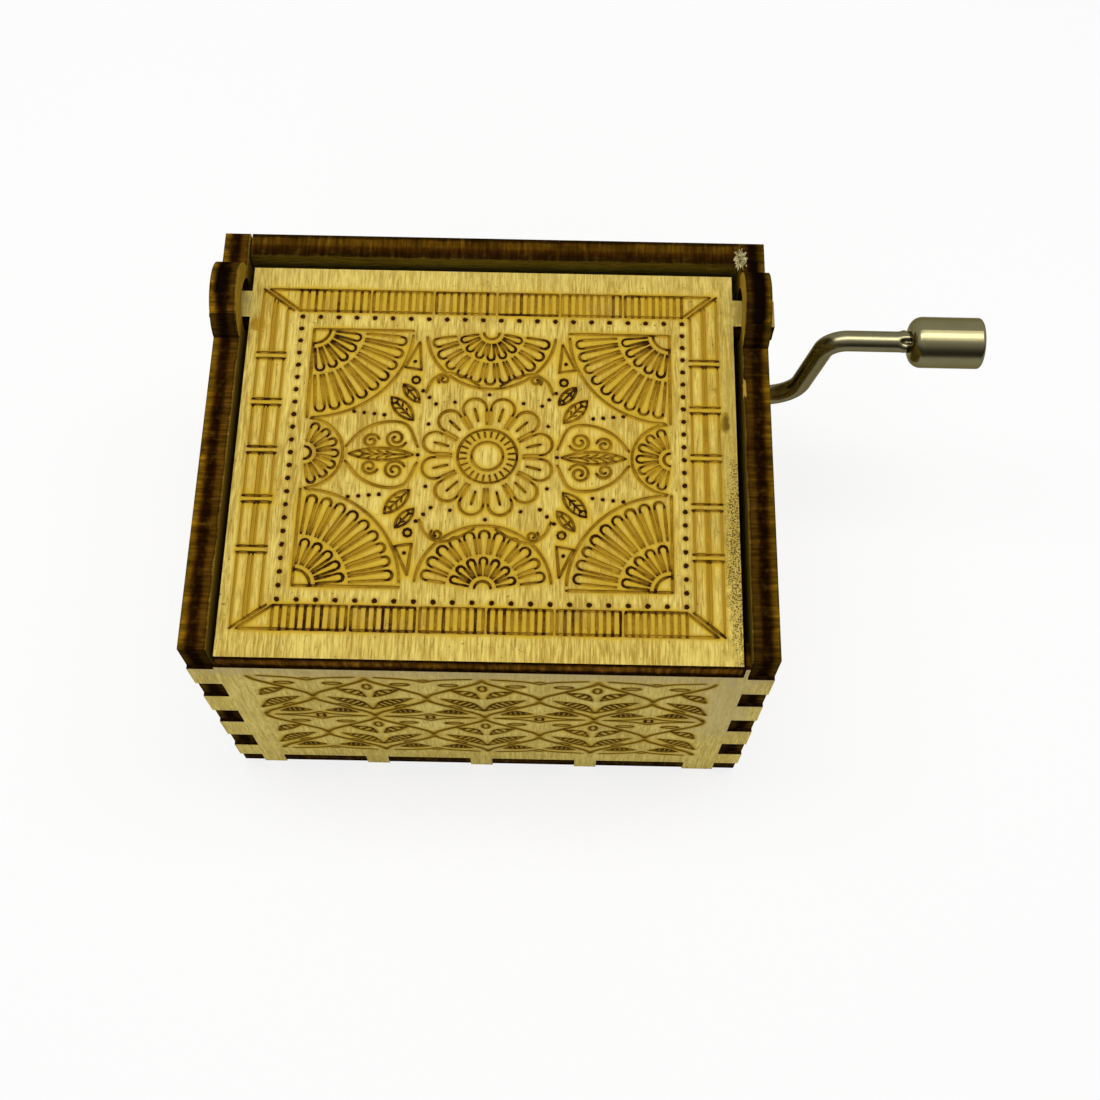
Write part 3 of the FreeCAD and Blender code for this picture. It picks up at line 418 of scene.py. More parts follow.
def lobe(apex, angle, half_angle, inner, outer, burn):
    """A long petal with a round end: its two sides, which point at the apex, and its darker cap."""
    paler, darker = 0.15, 0.2
    sine = math.sin(math.radians(half_angle))
    middle = outer / (1 + sine)
    tangent = middle * math.cos(math.radians(half_angle))
    strokes = []
    for side in (angle - half_angle, angle + half_angle):
        strokes.append(line(polar(apex, inner, side), polar(apex, tangent, side), burn=burn - paler))
    start, end = angle - half_angle - 90, angle + half_angle + 90
    strokes.append(arc(polar(apex, middle, angle), middle * sine, start, end, burn + darker, step=0.3))
    return uneven_burn(strokes)


def shell(apex, facing, spread, tiers, rim):
    """A fan of petals in tiers, with a rim around it. The inner tiers are darker."""
    first, last = facing - spread / 2, facing + spread / 2
    strokes = []
    for inner, outer, count in tiers:
        pitch = spread / count
        gap = math.degrees(PETAL_GAP / outer)
        burn = 0.75 if inner < tiers[-1][0] else 0.5
        for i in range(count):
            angle = first + pitch * (i + 0.5)
            strokes += lobe(apex, angle, pitch / 2 - gap, inner, outer, burn)
    strokes.append(arc(apex, rim, first, last, burn=0.4))
    strokes.append(arc(apex, tiers[0][0] - SHELL_ROOT, first, last, burn=0.7, step=0.2))
    return strokes


def rosette():
    """The round flower in the middle: two rings with dashes between them, and petals with a midrib."""
    half_petal = 180 / PETALS
    strokes = ring(MIDDLE, HEART) + ring(MIDDLE, COLLAR)
    for i in range(PETALS):
        angle = 360 * (i + 0.5) / PETALS
        strokes += lobe(MIDDLE, angle, half_petal - PETAL_SPLIT, PETAL_ROOT, ROSETTE, burn=0.35)
        strokes.append(spoke(PETAL_MIDRIB, angle, burn=0.6))
        strokes.append(bead(polar(MIDDLE, PETAL_DOT, angle + half_petal), SMALL_DOT, burn=0.8))
    for i in range(2 * PETALS):
        strokes.append(spoke(DASH, 180 * (i + 0.5) / PETALS, LINE * 0.8))
    return strokes


def dotted_triangle(tip, base, half_width, dot_rise=0.95):
    """A triangle with a burnt dot in it."""
    tip, base = np.array(tip, float), np.array(base, float)
    run = (tip - base) / np.linalg.norm(tip - base)
    across = np.array((-run[1], run[0])) * half_width
    left, right = tuple(base - across), tuple(base + across)
    strokes = [line(tuple(tip), left), line(tuple(tip), right), line(left, right)]
    return strokes + [bead(tuple(base + run * dot_rise), SMALL_DOT)]


def lid_quarter():
    """The upper right quarter of the field: a shell in the corner, and scrolls beside the rosette."""
    side, top = FIELD
    pitch, dot = 1.15, 0.25
    strokes = shell((side, top), 225, CORNER_SPREAD, CORNER_TIERS, CORNER_RIM)
    strokes.append(line((side, top - CORNER_RIM), (side, top), burn=0.4))
    strokes.append(line((side - CORNER_RIM, top), (side, top), burn=0.4))
    strokes.append(spiral((10.4, 2.0), outer=1.25, inner=0.25, start=205, turns=1.6))
    strokes.append(spiral((13.2, 1.6), outer=0.95, inner=0.25, start=160, turns=-1.3))
    strokes += leaf((8.6, 4.4), (11.2, 7.3), half_width=0.8, veins=3)
    strokes.append(curve(SIDE_WAVE, burn=0.4))
    strokes += [bead((11.9 + pitch * i, 5.0 + 0.12 * i), dot) for i in range(4)]
    strokes += [bead(polar(MIDDLE, 8.9 + pitch * i, 47), dot) for i in range(3)]
    strokes += ring((8.5, 9.6), 0.45, burn=0.85)
    strokes += dotted_triangle((8.3, 14.6), (8.9, 11.1), half_width=0.95)
    strokes += leaf((9.9, 9.0), (8.0, 6.7), half_width=0.6, veins=2)
    strokes.append(spiral((5.3, 9.75), outer=0.7, inner=0.2, start=-40, turns=1.3))
    strokes.append(curve(TOP_WAVE, burn=0.35))
    return strokes


def lid_field():
    """The ornament inside the lid's border: shells in the corners and at the sides around a rosette."""
    side, top = FIELD
    strokes = rosette() + mirrored(lid_quarter())
    for sign, facing in ((1, 180), (-1, 0)):
        strokes += shell((sign * side, 0), facing, EDGE_SPREAD, SIDE_TIERS, SIDE_RIM)
        strokes += leaf((sign * 8.4, 0), (sign * 15.6, 0), half_width=0.75, veins=4)
        strokes += shell((0, sign * top), -90 * sign, EDGE_SPREAD, END_TIERS, END_RIM)
    return shifted(strokes, *FIELD_CENTRE)


# ---------------------------------------------------------------- the walls' engraved design


def ogee_lattice(width):
    """A lattice of pointed ovals in a frame of plain wood: sprigs and diamonds by turns."""
    height = LATTICE_HIGH - LATTICE_LOW
    columns, rows = round(width / LATTICE_PITCH), round(height / LATTICE_ROW)
    half_x, half_y = width / columns / 2, height / rows
    strokes = []
    for row in range(rows + 1):
        for column in range(-1, columns + 1):
            x = -width / 2 + (2 * column + 1 + row % 2) * half_x
            y = LATTICE_LOW + row * half_y
            for side in (1, -1):
                strokes.append(ogee_side(x, y, side * half_x, half_y))
                strokes.append(ogee_side(x, y, side * half_x, -half_y))
            strokes += sprig(x, y) if row % 2 else diamond(x, y)

    def inside(point):
        return abs(point[0]) <= width / 2 and LATTICE_LOW <= point[1] <= LATTICE_HIGH

    return clipped(densified(strokes), inside)


def ogee_side(x, y, half_x, half_y):
    return curve([(x + half_x * a, y + half_y * b) for a, b in OGEE], LINE * 1.45, burn=0.15)


def sprig(x, y):
    """Two pairs of hatched feathers on a stem, with ovals beside them."""
    strokes = oval((x, y + 3.9), 0.42, 0.9)
    for side in (1, -1):
        strokes += feather((x, y - 4.4), (x + side * 4.7, y - 0.1), belly=side * 1.35, bars=5)
        strokes += feather((x + side * 0.5, y + 0.3), (x + side * 3.4, y + 3.0), belly=side * 1.15, bars=3)
        strokes += oval((x + side * 3.3, y - 3.1), 0.8, 0.34, turn=side * 40)
    return strokes


def diamond(x, y):
    """A wide diamond with hollow sides around an upright box, between small feathers and ovals."""
    strokes = []
    for a in (1, -1):
        for b in (1, -1):
            hollow = [(x + a * 5.3, y), (x + a * 1.7, y + b * 0.5), (x, y + b * 1.35)]
            strokes.append(curve(hollow, burn=0.45))
        strokes += feather((x + a * 0.9, y + 2.0), (x + a * 4.4, y + 1.5), belly=a * 1.2, bars=4)
        strokes += oval((x + a * 2.7, y - 2.3), 1.0, 0.38)
    left, low, right, high = x - 0.4, y - 0.55, x + 0.4, y + 0.55
    strokes += [line((left, level), (right, level), burn=0.75) for level in (low, high)]
    return strokes + [line((side, low), (side, high), burn=0.75) for side in (left, right)]


def feather(root, tip, belly, bars):
    """A bowed feather: two long sides, and short dark bars across it."""
    first_bar, bar_run, above, below = 0.28, 0.5, 0.8, 0.1
    root, tip = np.array(root, float), np.array(tip, float)
    run = tip - root
    across = np.array((-run[1], run[0])) / np.linalg.norm(run) * belly
    strokes = []
    for bow in (1.0, -0.25):
        strokes.append(curve([tuple(root), tuple(root + run * 0.5 + across * bow), tuple(tip)], burn=0.45))
    for i in range(bars):
        share = first_bar + bar_run * i / (bars - 1)
        reach = 4 * share * (1 - share)
        middle = root + run * share
        ends = tuple(middle + across * above * reach), tuple(middle - across * below * reach)
        strokes.append(line(*ends, LINE * 1.35, burn=0.85))
    return strokes


# ---------------------------------------------------------------- engraving a face


def uneven(count, amount=0.12, knot=3):
    """Factors that wander around 1 along a stroke, as the width of a laser's line does."""
    knots = [random.gauss(0, 1) for _ in range(count // knot + 2)]
    spots = np.arange(count) / knot
    return np.clip(1 + amount * np.interp(spots, range(len(knots)), knots), 0.75, 1.3)


def outline_of(stroke):
    """The outline of a stroke's groove, as a polygon that runs anticlockwise."""
    overrun, taper, least_dot, most_dot = 0.6, 0.7, 0.85, 1.1
    points, width, _ = stroke
    half = width / 2
    if len(points) == 1:
        radii = [half * random.uniform(least_dot, most_dot) for _ in range(DOT_SIDES)]
        return [polar(points[0], radius, 360 * i / DOT_SIDES) for i, radius in enumerate(radii)]
    path = np.array(points, float)
    along = np.diff(path, axis=0)
    along /= np.maximum(np.linalg.norm(along, axis=1), 1e-9)[:, None]
    joint = np.vstack([along[:1], along[:-1] + along[1:], along[-1:]])
    joint /= np.maximum(np.linalg.norm(joint, axis=1), 1e-9)[:, None]
    across = np.column_stack([-joint[:, 1], joint[:, 0]]) * half
    path[0] -= along[0] * half * overrun
    path[-1] += along[-1] * half * overrun
    spread = uneven(len(path))
    spread[0] = spread[-1] = taper
    left = path + across * spread[:, None]
    right = path - across * spread[:, None]
    return [tuple(p) for p in right] + [tuple(p) for p in left[::-1]]


def halo_points(strokes):
    """Places beside the strokes, where the scorched wood beside a groove fades."""
    places = []
    for points, width, _ in strokes:
        if len(points) == 1:
            places += [polar(points[0], width / 2 + HALO[0], 60 * i) for i in range(6)]
            continue
        for a, b in zip(points, points[1:]):
            length = math.dist(a, b)
            side = ((a[1] - b[1]) / length, (b[0] - a[0]) / length)
            for gap in HALO:
                reach = width / 2 + gap
                places.append((a[0] + side[0] * reach, a[1] + side[1] * reach))
                places.append((a[0] - side[0] * reach, a[1] - side[1] * reach))
    places = np.array(places)
    _, first = np.unique(np.floor(places / (STEP / 2)).astype(int), axis=0, return_index=True)
    return places[np.sort(first)]


def heat_of(places, strokes):
    """For each place: the gap to the nearest groove's edge, and how much the strokes around warm it."""
    segments = []
    for points, width, burn in strokes:
        path = points if len(points) > 1 else [points[0], (points[0][0] + 0.01, points[0][1])]
        for a, b in zip(path, path[1:]):
            length = max(math.dist(a, b), width / 2 if len(points) == 1 else 0)
            segments.append((*a, *b, width / 2, (LEAST_HEAT + BURN_HEAT * burn) * length))
    segments = np.array(segments)
    starts, runs = segments[:, :2], segments[:, 2:4] - segments[:, :2]
    squares = np.maximum((runs**2).sum(1), 1e-9)
    middle = starts + runs / 2
    gaps, warmth = np.full(len(places), FAR), np.zeros(len(places))
    spot = np.floor(places / HEAT_CELL).astype(int)
    for key in np.unique(spot, axis=0):
        mine = np.flatnonzero((spot == key).all(1))
        off_centre = np.abs(middle - (key + 0.5) * HEAT_CELL).max(1)
        near = np.flatnonzero(off_centre < HEAT_CELL / 2 + HEAT_REACH)
        if not len(near):
            continue
        off = places[mine][:, None] - starts[near][None]
        t = np.clip((off * runs[near]).sum(2) / squares[near], 0, 1)
        gap = np.linalg.norm(off - t[..., None] * runs[near], axis=2)
        gaps[mine] = np.clip((gap - segments[near, 4]).min(1), 0, FAR)
        glow = np.exp(-((gap / WARM_REACH) ** 2)) * segments[near, 5]
        warmth[mine] = glow.sum(1) / (WARM_REACH * math.sqrt(math.pi))
    return gaps, warmth


def dwell_of(places, strokes, batch=2000):
    """For each place: how near it is to where a stroke starts or ends, which the laser burns deepest."""
    ends = np.array([p for points, _, _ in strokes for p in (points[0], points[-1])])
    result = np.zeros(len(places))
    for first in range(0, len(places), batch):
        part = places[first : first + batch]
        gap = np.linalg.norm(part[:, None] - ends[None], axis=2)
        result[first : first + batch] = np.exp(-((gap / DWELL_REACH) ** 2)).max(1)
    return result


def inside_loops(places, segments):
    """Whether each place is inside the closed loops made of the segments: the even-odd rule."""
    crossings = np.zeros(len(places), int)
    for (x0, y0), (x1, y1) in segments:
        if y0 == y1:
            continue
        level = (places[:, 1] >= min(y0, y1)) & (places[:, 1] < max(y0, y1))
        at = x0 + (places[:, 1] - y0) * (x1 - x0) / (y1 - y0)
        crossings += level & (at > places[:, 0])
    return crossings % 2 == 1


def distance_to(point, starts, ends):
    """The distance from a point to the nearest of some segments."""
    run = ends - starts
    t = np.clip(((point - starts) * run).sum(1) / np.maximum((run**2).sum(1), 1e-12), 0, 1)
    return np.linalg.norm(point - starts - t[:, None] * run, axis=1).min()


def grid_points(low, high, rim):
    """An even grid of points inside the rim and clear of it."""
    row_pitch = GRID * 0.87
    across = np.arange(low[0] + GRID / 2, high[0], GRID)
    up = np.arange(low[1] + GRID / 2, high[1], row_pitch)
    points = np.array([(x + (GRID / 2 if j % 2 else 0), y) for j, y in enumerate(up) for x in across])
    points = points[inside_loops(points, rim)]
    starts, ends = np.array([s[0] for s in rim]), np.array([s[1] for s in rim])
    near = np.array([distance_to(p, starts, ends) for p in points])
    return points[near > RIM_CLEARANCE]


def face_frame(normal, level):
    """The 2-D frame of a face: its axes across and up, its outward normal and a point on it, in metres."""
    normal = Vector(normal)
    if abs(normal.z) > 0.5:
        across, up = Vector((1, 0, 0)), Vector((0, 1, 0))
    else:
        up = Vector((0, 0, 1))
        across = up.cross(normal)
    return across, up, normal, normal * level * MM


def panel_mesh(node):
    """A working copy of a CAD panel's mesh, its doubled corners joined."""
    mesh = bmesh.new()
    mesh.from_mesh(frame["nodes"][node].data)
    bmesh.ops.remove_doubles(mesh, verts=mesh.verts, dist=1e-6)
    return mesh


def is_on(face, normal, level):
    """Whether a face lies in the plane with this normal, at this level along it in millimetres."""
    return face.normal.dot(normal) > 0.99 and abs(face.calc_center_median().dot(normal) - level * MM) < 1e-6


def open_face(mesh, normal, level):
    """Takes a flat face out of a mesh, and divides the edges around it into short ones."""
    chosen = {f for f in mesh.faces if is_on(f, normal, level)}
    rim = {e for f in chosen for e in f.edges if sum(g in chosen for g in e.link_faces) == 1}
    by_cuts = {}
    for edge in rim:
        cuts = int(edge.calc_length() / (GRID * MM))
        if cuts:
            by_cuts.setdefault(cuts, []).append(edge)
    for cuts, edges in sorted(by_cuts.items()):
        bmesh.ops.subdivide_edges(mesh, edges=edges, cuts=cuts)
    mesh.normal_update()
    chosen = [f for f in mesh.faces if is_on(f, normal, level)]
    bmesh.ops.delete(mesh, geom=chosen, context="FACES")


def fill_rim(rim_points, rim_edges, strokes):
    """Triangles that fill a rim and follow each stroke's outline.

    Returns the places, the rim point that each place stands on or None, and the triangles, each as
    its three corners and the strokes that it belongs to.
    """
    rim = [(rim_points[a], rim_points[b]) for a, b in rim_edges]
    points = list(rim_points)
    points += [tuple(p) for p in grid_points(np.min(points, axis=0), np.max(points, axis=0), rim)]
    halo = halo_points(strokes)
    halo = halo[inside_loops(halo, rim)]
    points += [tuple(p) for p in halo[heat_of(halo, strokes)[0] > GROOVE_CLEARANCE]]
    outlines = []
    for stroke in strokes:
        outline = outline_of(stroke)
        outlines.append(list(range(len(points), len(points) + len(outline))))
        points += outline
    out = delaunay_2d_cdt([Vector(p) for p in points], rim_edges, outlines, 0, SAME_POINT, True)
    verts, triangles, vert_sources, face_sources = out[0], out[2], out[3], out[5]
    places = np.array([(v.x, v.y) for v in verts])
    on_rim = [next((s for s in sources if s < len(rim_points)), None) for sources in vert_sources]
    middles = np.array([places[list(t)].mean(0) for t in triangles])
    inside = inside_loops(middles, rim)
    return places, on_rim, [pair for pair, kept in zip(zip(triangles, face_sources), inside) if kept]


def engrave(name, node, normal, level, strokes, body, materials):
    """A stand-in for a plywood panel: the CAD panel's own mesh, with the strokes cut into one face."""
    across, up, normal, origin = face_frame(normal, level)
    mesh = panel_mesh(node)
    open_face(mesh, normal, level)
    gap_layer, warm_layer, burn_layer = (mesh.verts.layers.float.new(n) for n in ("gap", "warmth", "burn"))
    strokes = densified(strokes)
    edges = [e for e in mesh.edges if e.is_boundary]
    rim = sorted({v for e in edges for v in e.verts}, key=lambda v: (v.co.x, v.co.y, v.co.z))
    number = {v: i for i, v in enumerate(rim)}
    rim_points = [(v.co.dot(across) / MM, v.co.dot(up) / MM) for v in rim]
    rim_edges = [(number[e.verts[0]], number[e.verts[1]]) for e in edges]
    places, on_rim, triangles = fill_rim(rim_points, rim_edges, strokes)
    gaps, warmth = heat_of(places, strokes)
    dwell = dwell_of(places, strokes)
    surface, floor = {}, {}

    def on_face(i):
        x, y = places[i]
        return across * x * MM + up * y * MM + origin

    def top_vert(i):
        if i not in surface:
            surface[i] = mesh.verts.new(on_face(i)) if on_rim[i] is None else rim[on_rim[i]]
            surface[i][gap_layer] = gaps[i]
            surface[i][warm_layer] = warmth[i]
        return surface[i]

    def floor_vert(i, burn):
        if i not in floor:
            floor[i] = mesh.verts.new(on_face(i) - normal * GROOVE_DEPTH * MM)
        floor[i][burn_layer] = max(floor[i][burn_layer], burn + DWELL_BURN * dwell[i])
        return floor[i]

    sides = {}
    for triangle, sources in triangles:
        cut = len(sources) > 0
        if cut:
            burn = max(strokes[s][2] for s in sources)
            face = mesh.faces.new([floor_vert(i, burn) for i in triangle])
        else:
            face = mesh.faces.new([top_vert(i) for i in triangle])
        face.material_index = GROOVE if cut else VENEER
        for a, b in zip(triangle, list(triangle[1:]) + [triangle[0]]):
            sides.setdefault((min(a, b), max(a, b)), []).append((cut, a, b))
    for pair in sides.values():
        if len(pair) == 2 and pair[0][0] != pair[1][0]:
            _, a, b = next(side for side in pair if side[0])
            wall = mesh.faces.new([top_vert(a), top_vert(b), floor[b], floor[a]][::-1])
            wall.material_index = GROOVE
    finish_panel(mesh, name, node, normal, body, materials)


def finish_panel(mesh, name, node, normal, body, materials):
    """Sorts a panel's faces into engraved side, edges, grooves, inner side and front edges."""
    mesh.normal_update()
    for face in mesh.faces:
        facing = face.normal.dot(normal)
        if face.material_index == GROOVE:
            continue
        if facing < -0.5:
            face.material_index = INNER
        elif facing < 0.5:
            face.material_index = FRONT_EDGE if face.normal.y < -0.7 else EDGE
    add_piece(mesh, name, materials, body, node)


def plain_panel(name, node, normal, body, materials):
    """A panel with nothing engraved, as its own mesh so that its edges show burnt."""
    mesh = panel_mesh(node)
    gap_layer = mesh.verts.layers.float.new("gap")
    mesh.verts.layers.float.new("warmth")
    for vert in mesh.verts:
        vert[gap_layer] = FAR
    finish_panel(mesh, name, node, Vector(normal), body, materials)


def add_piece(mesh, name, materials, body, node=None):
    """Turns a working mesh into a piece that rides on a body, in place of a CAD node if one is named."""
    data = bpy.data.meshes.new(name)
    mesh.to_mesh(data)
    mesh.free()
    for material in materials:
        data.materials.append(material)
    piece = bpy.data.objects.new(name, data)
    SCENE.collection.objects.link(piece)
    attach(piece, body)
    if node:
        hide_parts(node)
    return piece


# ---------------------------------------------------------------- materials
# Colours are display colours, 0 to 255. Textures are laid out in metres. A noise has a scale, a
# detail and a roughness. A seed moves it, so that no two materials show the same grain.


def colour(red, green, blue):
    """A display colour as the linear colour that a shader takes."""
    values = []
    for c in (red / 255, green / 255, blue / 255):
        values.append(c / 12.92 if c <= 0.04045 else ((c + 0.055) / 1.055) ** 2.4)
    return (*values, 1.0)


def shaded(tint, share):
    return tuple(c * share for c in tint)


def grain_scale(grain, fine=1.0, along=1.0):
    """Mapping scale that stretches a texture along the grain's axis."""
    scale = [fine, fine, fine]
    scale["XYZ".index(grain)] = along
    return tuple(scale)


class Nodes:
    """A short way to build the node tree of a material or of the world."""

    def __init__(self, owner):
        owner.use_nodes = True
        self.owner = owner
        self.tree = owner.node_tree
        self.shader = self.tree.nodes.get("Principled BSDF")

    def add(self, kind, settings=(), **inputs):
        """A new node. In an input's name, an underscore stands for a space."""
        node = self.tree.nodes.new("ShaderNode" + kind)
        for key, value in dict(settings).items():
            setattr(node, key, value)
        for key, value in inputs.items():
            self.link(node.inputs[key.replace("_", " ")], value)
        return node

    def link(self, socket, value):
        if isinstance(value, bpy.types.NodeSocket):
            self.tree.links.new(value, socket)
        else:
            socket.default_value = value

    def place(self, scale=(1, 1, 1), shift=(0, 0, 0)):
        """Object coordinates in metres, scaled and moved."""
        source = self.add("TexCoord").outputs["Object"]
        return self.add("Mapping", Vector=source, Scale=scale, Location=shift).outputs["Vector"]

    def coordinate(self, axis):
        return self.add("SeparateXYZ", Vector=self.place()).outputs["XYZ".index(axis)]

    def attribute(self, name):
        return self.add("Attribute", {"attribute_name": name}).outputs["Fac"]

    def noise(self, where, scale, detail=3.0, rough=0.6):
        node = self.add("TexNoise", Vector=where, Scale=scale, Detail=detail, Roughness=rough)
        return node.outputs["Fac"]

    def maths(self, operation, first, second):
        node = self.add("Math", {"operation": operation})
        self.link(node.inputs[0], first)
        self.link(node.inputs[1], second)
        return node.outputs[0]

    def plus(self, first, second):
        return self.maths("ADD", first, second)

    def minus(self, first, second):
        return self.maths("SUBTRACT", first, second)

    def times(self, first, second):
        return self.maths("MULTIPLY", first, second)

    def exponential(self, value):
        return self.maths("POWER", 2.718, value)

    def ramp(self, value, stops):
        """A colour ramp. Each stop is (place, display colour or grey)."""
        node = self.add("ValToRGB", Fac=value)
        ramp = node.color_ramp
        while len(ramp.elements) > 1:
            ramp.elements.remove(ramp.elements[-1])
        for i, (place, shade) in enumerate(stops):
            element = ramp.elements[0] if i == 0 else ramp.elements.new(place)
            element.position = place
            element.color = colour(*shade) if isinstance(shade, tuple) else (shade, shade, shade, 1.0)
        return node.outputs["Color"]

    def mix(self, share, first, second):
        """The first colour, and the second one over it by its share. Each is a socket or a tuple."""
        node = self.add("Mix", {"data_type": "RGBA"})
        self.link(node.inputs["Factor"], share)
        for key, tint in (("A", first), ("B", second)):
            self.link(node.inputs[key], colour(*tint) if isinstance(tint, tuple) else tint)
        return next(o for o in node.outputs if o.type == "RGBA")

    def patch(self, centre, radii, strength):
        """A soft spot of the object: its share is the strength within the radii, ragged at the rim."""
        spread = [1 / (r * MM) for r in radii]
        shift = [-c * MM * k for c, k in zip(centre, spread)]
        where = self.place(spread, shift)
        away = self.add("VectorMath", {"operation": "LENGTH"}, Vector=where).outputs["Value"]
        ragged = self.minus(self.noise(self.place(), 900.0), 0.5)
        return self.ramp(self.plus(away, self.times(ragged, 1.4)), [(0.55, strength), (1.0, 0.0)])

    def bump(self, height, distance, strength):
        node = self.add("Bump", Height=height, Distance=distance, Strength=strength)
        self.link(self.shader.inputs["Normal"], node.outputs["Normal"])

    def surface(self, base, rough, shine=0.5):
        """Sets the surface's colour, its roughness and how strongly it reflects."""
        self.link(self.shader.inputs["Base Color"], base)
        self.link(self.shader.inputs["Roughness"], rough)
        self.link(self.shader.inputs["Specular IOR Level"], shine)

    def glow(self, tint):
        return self.add("Emission", Color=tint, Strength=1.0).outputs[0]

    def camera_or_glossy(self):
        """1 where the camera, a reflection or glass sees the surface, and 0 where it only gives light."""
        path = self.add("LightPath")
        seen = self.maths("MAXIMUM", path.outputs["Is Camera Ray"], path.outputs["Is Glossy Ray"])
        return self.maths("MAXIMUM", seen, path.outputs["Is Transmission Ray"])


def new_material(name):
    return Nodes(bpy.data.materials.new(name))


def veneer_base(n, grain, light, dark, seed):
    """A bare veneer: fibres, streaks, broad bands, dark pores and specks. Returns colour and tone."""
    start = (seed, seed * 0.7, seed * 1.3)
    fibres = n.noise(n.place(grain_scale(grain, along=0.1), start), 5200.0)
    streaks = n.noise(n.place(grain_scale(grain, along=0.05), start), 2600.0, 2.0, 0.5)
    broad = n.noise(n.place(grain_scale(grain, along=0.3), start), 190.0)
    tone = n.plus(n.times(fibres, 0.5), n.times(streaks, 0.25))
    tone = n.plus(tone, n.times(broad, 0.25))
    base = n.ramp(tone, [(0.42, dark), (0.58, light)])
    pores = n.noise(n.place(grain_scale(grain, along=0.12), (seed * 3, seed, 0)), 3600.0, 2.0, 0.45)
    base = n.mix(n.ramp(pores, [(0.64, 0.0), (0.74, 0.6)]), base, shaded(dark, 0.7))
    specks = n.noise(n.place(shift=(seed, seed * 2, 0)), 2700.0, 2.0, 0.4)
    base = n.mix(n.ramp(specks, [(0.7, 0.0), (0.76, 0.7)]), base, shaded(dark, 0.5))
    return base, tone


WOOD_ROUGH, WOOD_SHINE, SMOKED_SHINE = 0.75, 0.06, 0.05
GRAIN_HEIGHT, GRAIN_STRENGTH = 0.00006, 0.6
GOLDEN, BROWN = (208, 172, 40), (158, 120, 22)
# painted shade on an inner side, below the top of the case: its share at heights in spans
PAINTED_SHADE_SPAN, PAINTED_SHADE_FADE = 50 * MM, [(0.83, 0.9), (0.86, 0.0)]


def wood_face(name, grain, light, dark, seed, golden=GOLDEN, brown=BROWN, marks=(), dusty=()):
    """A veneer, golden around its grooves and brown beside them.

    It has marks (centre, radii, colour, strength), some of them stains and some painted shade, and dusty
    spots (centre, radii).
    """
    n = new_material(name)
    base, tone = veneer_base(n, grain, light, dark, seed)
    for centre, radii, tint, strength in marks:
        base = n.mix(n.patch(centre, radii, strength), base, tint)
    for centre, radii in dusty:
        specks = n.noise(n.place(shift=(seed * 5, 0, 0)), 5200.0, 1.0, 0.4)
        share = n.times(n.ramp(specks, [(0.5, 0.0), (0.56, 0.95)]), n.patch(centre, radii, 1.0))
        base = n.mix(share, base, shaded(dark, 0.5))
    cloud = n.noise(n.place(shift=(seed, 0, seed)), 210.0)
    streaky = n.minus(n.plus(n.times(cloud, 3.0), n.times(tone, 4.0)), 2.72)
    heat = n.times(n.attribute("warmth"), streaky)
    base = n.mix(n.ramp(heat, [(0.1, 0.0), (0.6, 0.5), (1.0, 0.85)]), base, golden)
    close = n.exponential(n.times(n.attribute("gap"), -1.0 / CHAR_REACH))
    close = n.times(close, n.plus(n.times(tone, 1.2), 0.3))
    base = n.mix(n.ramp(close, [(0.1, 0.0), (0.95, 0.8)]), base, brown)
    n.surface(base, WOOD_ROUGH, WOOD_SHINE)
    n.bump(tone, GRAIN_HEIGHT, GRAIN_STRENGTH)
    return n.owner


def smoked_face(name, grain, light, dark, seed, painted_shade=None):
    """The inner side of a panel, tanned by the laser's smoke, with painted shade below the top of the case.
    """
    n = new_material(name)
    base, tone = veneer_base(n, grain, light, dark, seed)
    # painted shade: the inner side drawn dark below the top of the case
    if painted_shade:
        share = n.ramp(n.maths("DIVIDE", n.coordinate("Z"), PAINTED_SHADE_SPAN), PAINTED_SHADE_FADE)
        base = n.mix(share, base, painted_shade)
    n.surface(base, WOOD_ROUGH, SMOKED_SHINE)
    n.bump(tone, GRAIN_HEIGHT, GRAIN_STRENGTH)
    return n.owner


def groove(name, light, middle, dark, seed):
    """The floor and walls of the engraved lines: charred unevenly, darkest where the laser dwelt."""
    n = new_material(name)
    patches = n.noise(n.place(shift=(seed, seed, seed)), 2200.0)
    slow = n.noise(n.place(shift=(seed * 2, 0, seed)), 240.0, 2.0, 0.5)
    depth = n.plus(n.times(n.attribute("burn"), 0.8), n.times(patches, 0.5))
    depth = n.plus(depth, n.times(n.minus(slow, 0.5), 0.9))
    n.surface(n.ramp(depth, [(0.42, light), (0.76, middle), (1.0, dark)]), rough=0.9, shine=0.05)
    n.bump(patches, 0.00004, 0.8)
    return n.owner


# Bands through the thickness of a cut edge, from its outer side to its inner one: (place, colour).
SIDE_BANDS = [
    (0.0, (84, 60, 8)),
    (0.06, (120, 88, 10)),
    (0.18, (106, 74, 8)),
    (0.28, (64, 36, 4)),
    (0.36, (34, 15, 2)),
    (0.55, (28, 12, 2)),
    (0.64, (48, 26, 3)),
    (0.72, (78, 50, 8)),
    (0.88, (84, 56, 10)),
    (0.94, (58, 36, 6)),
    (0.98, (108, 84, 26)),
    (1.0, (116, 92, 30)),
]
WALL_BANDS = [
    (0.0, (34, 19, 3)),
    (0.12, (48, 28, 4)),
    (0.2, (92, 62, 9)),
    (0.42, (96, 64, 10)),
    (0.56, (66, 38, 5)),
    (0.75, (48, 26, 4)),
    (0.92, (38, 24, 4)),
    (1.0, (70, 52, 12)),
]
LID_BANDS = [
    (0.0, (36, 18, 3)),
    (0.14, (40, 20, 3)),
    (0.24, (84, 54, 12)),
    (0.5, (96, 64, 16)),
    (0.66, (78, 48, 10)),
    (0.78, (34, 16, 2)),
    (1.0, (26, 12, 2)),
]
MOTTLE, CHAR, SOOT = (124, 92, 22), (28, 13, 2), (12, 6, 2)


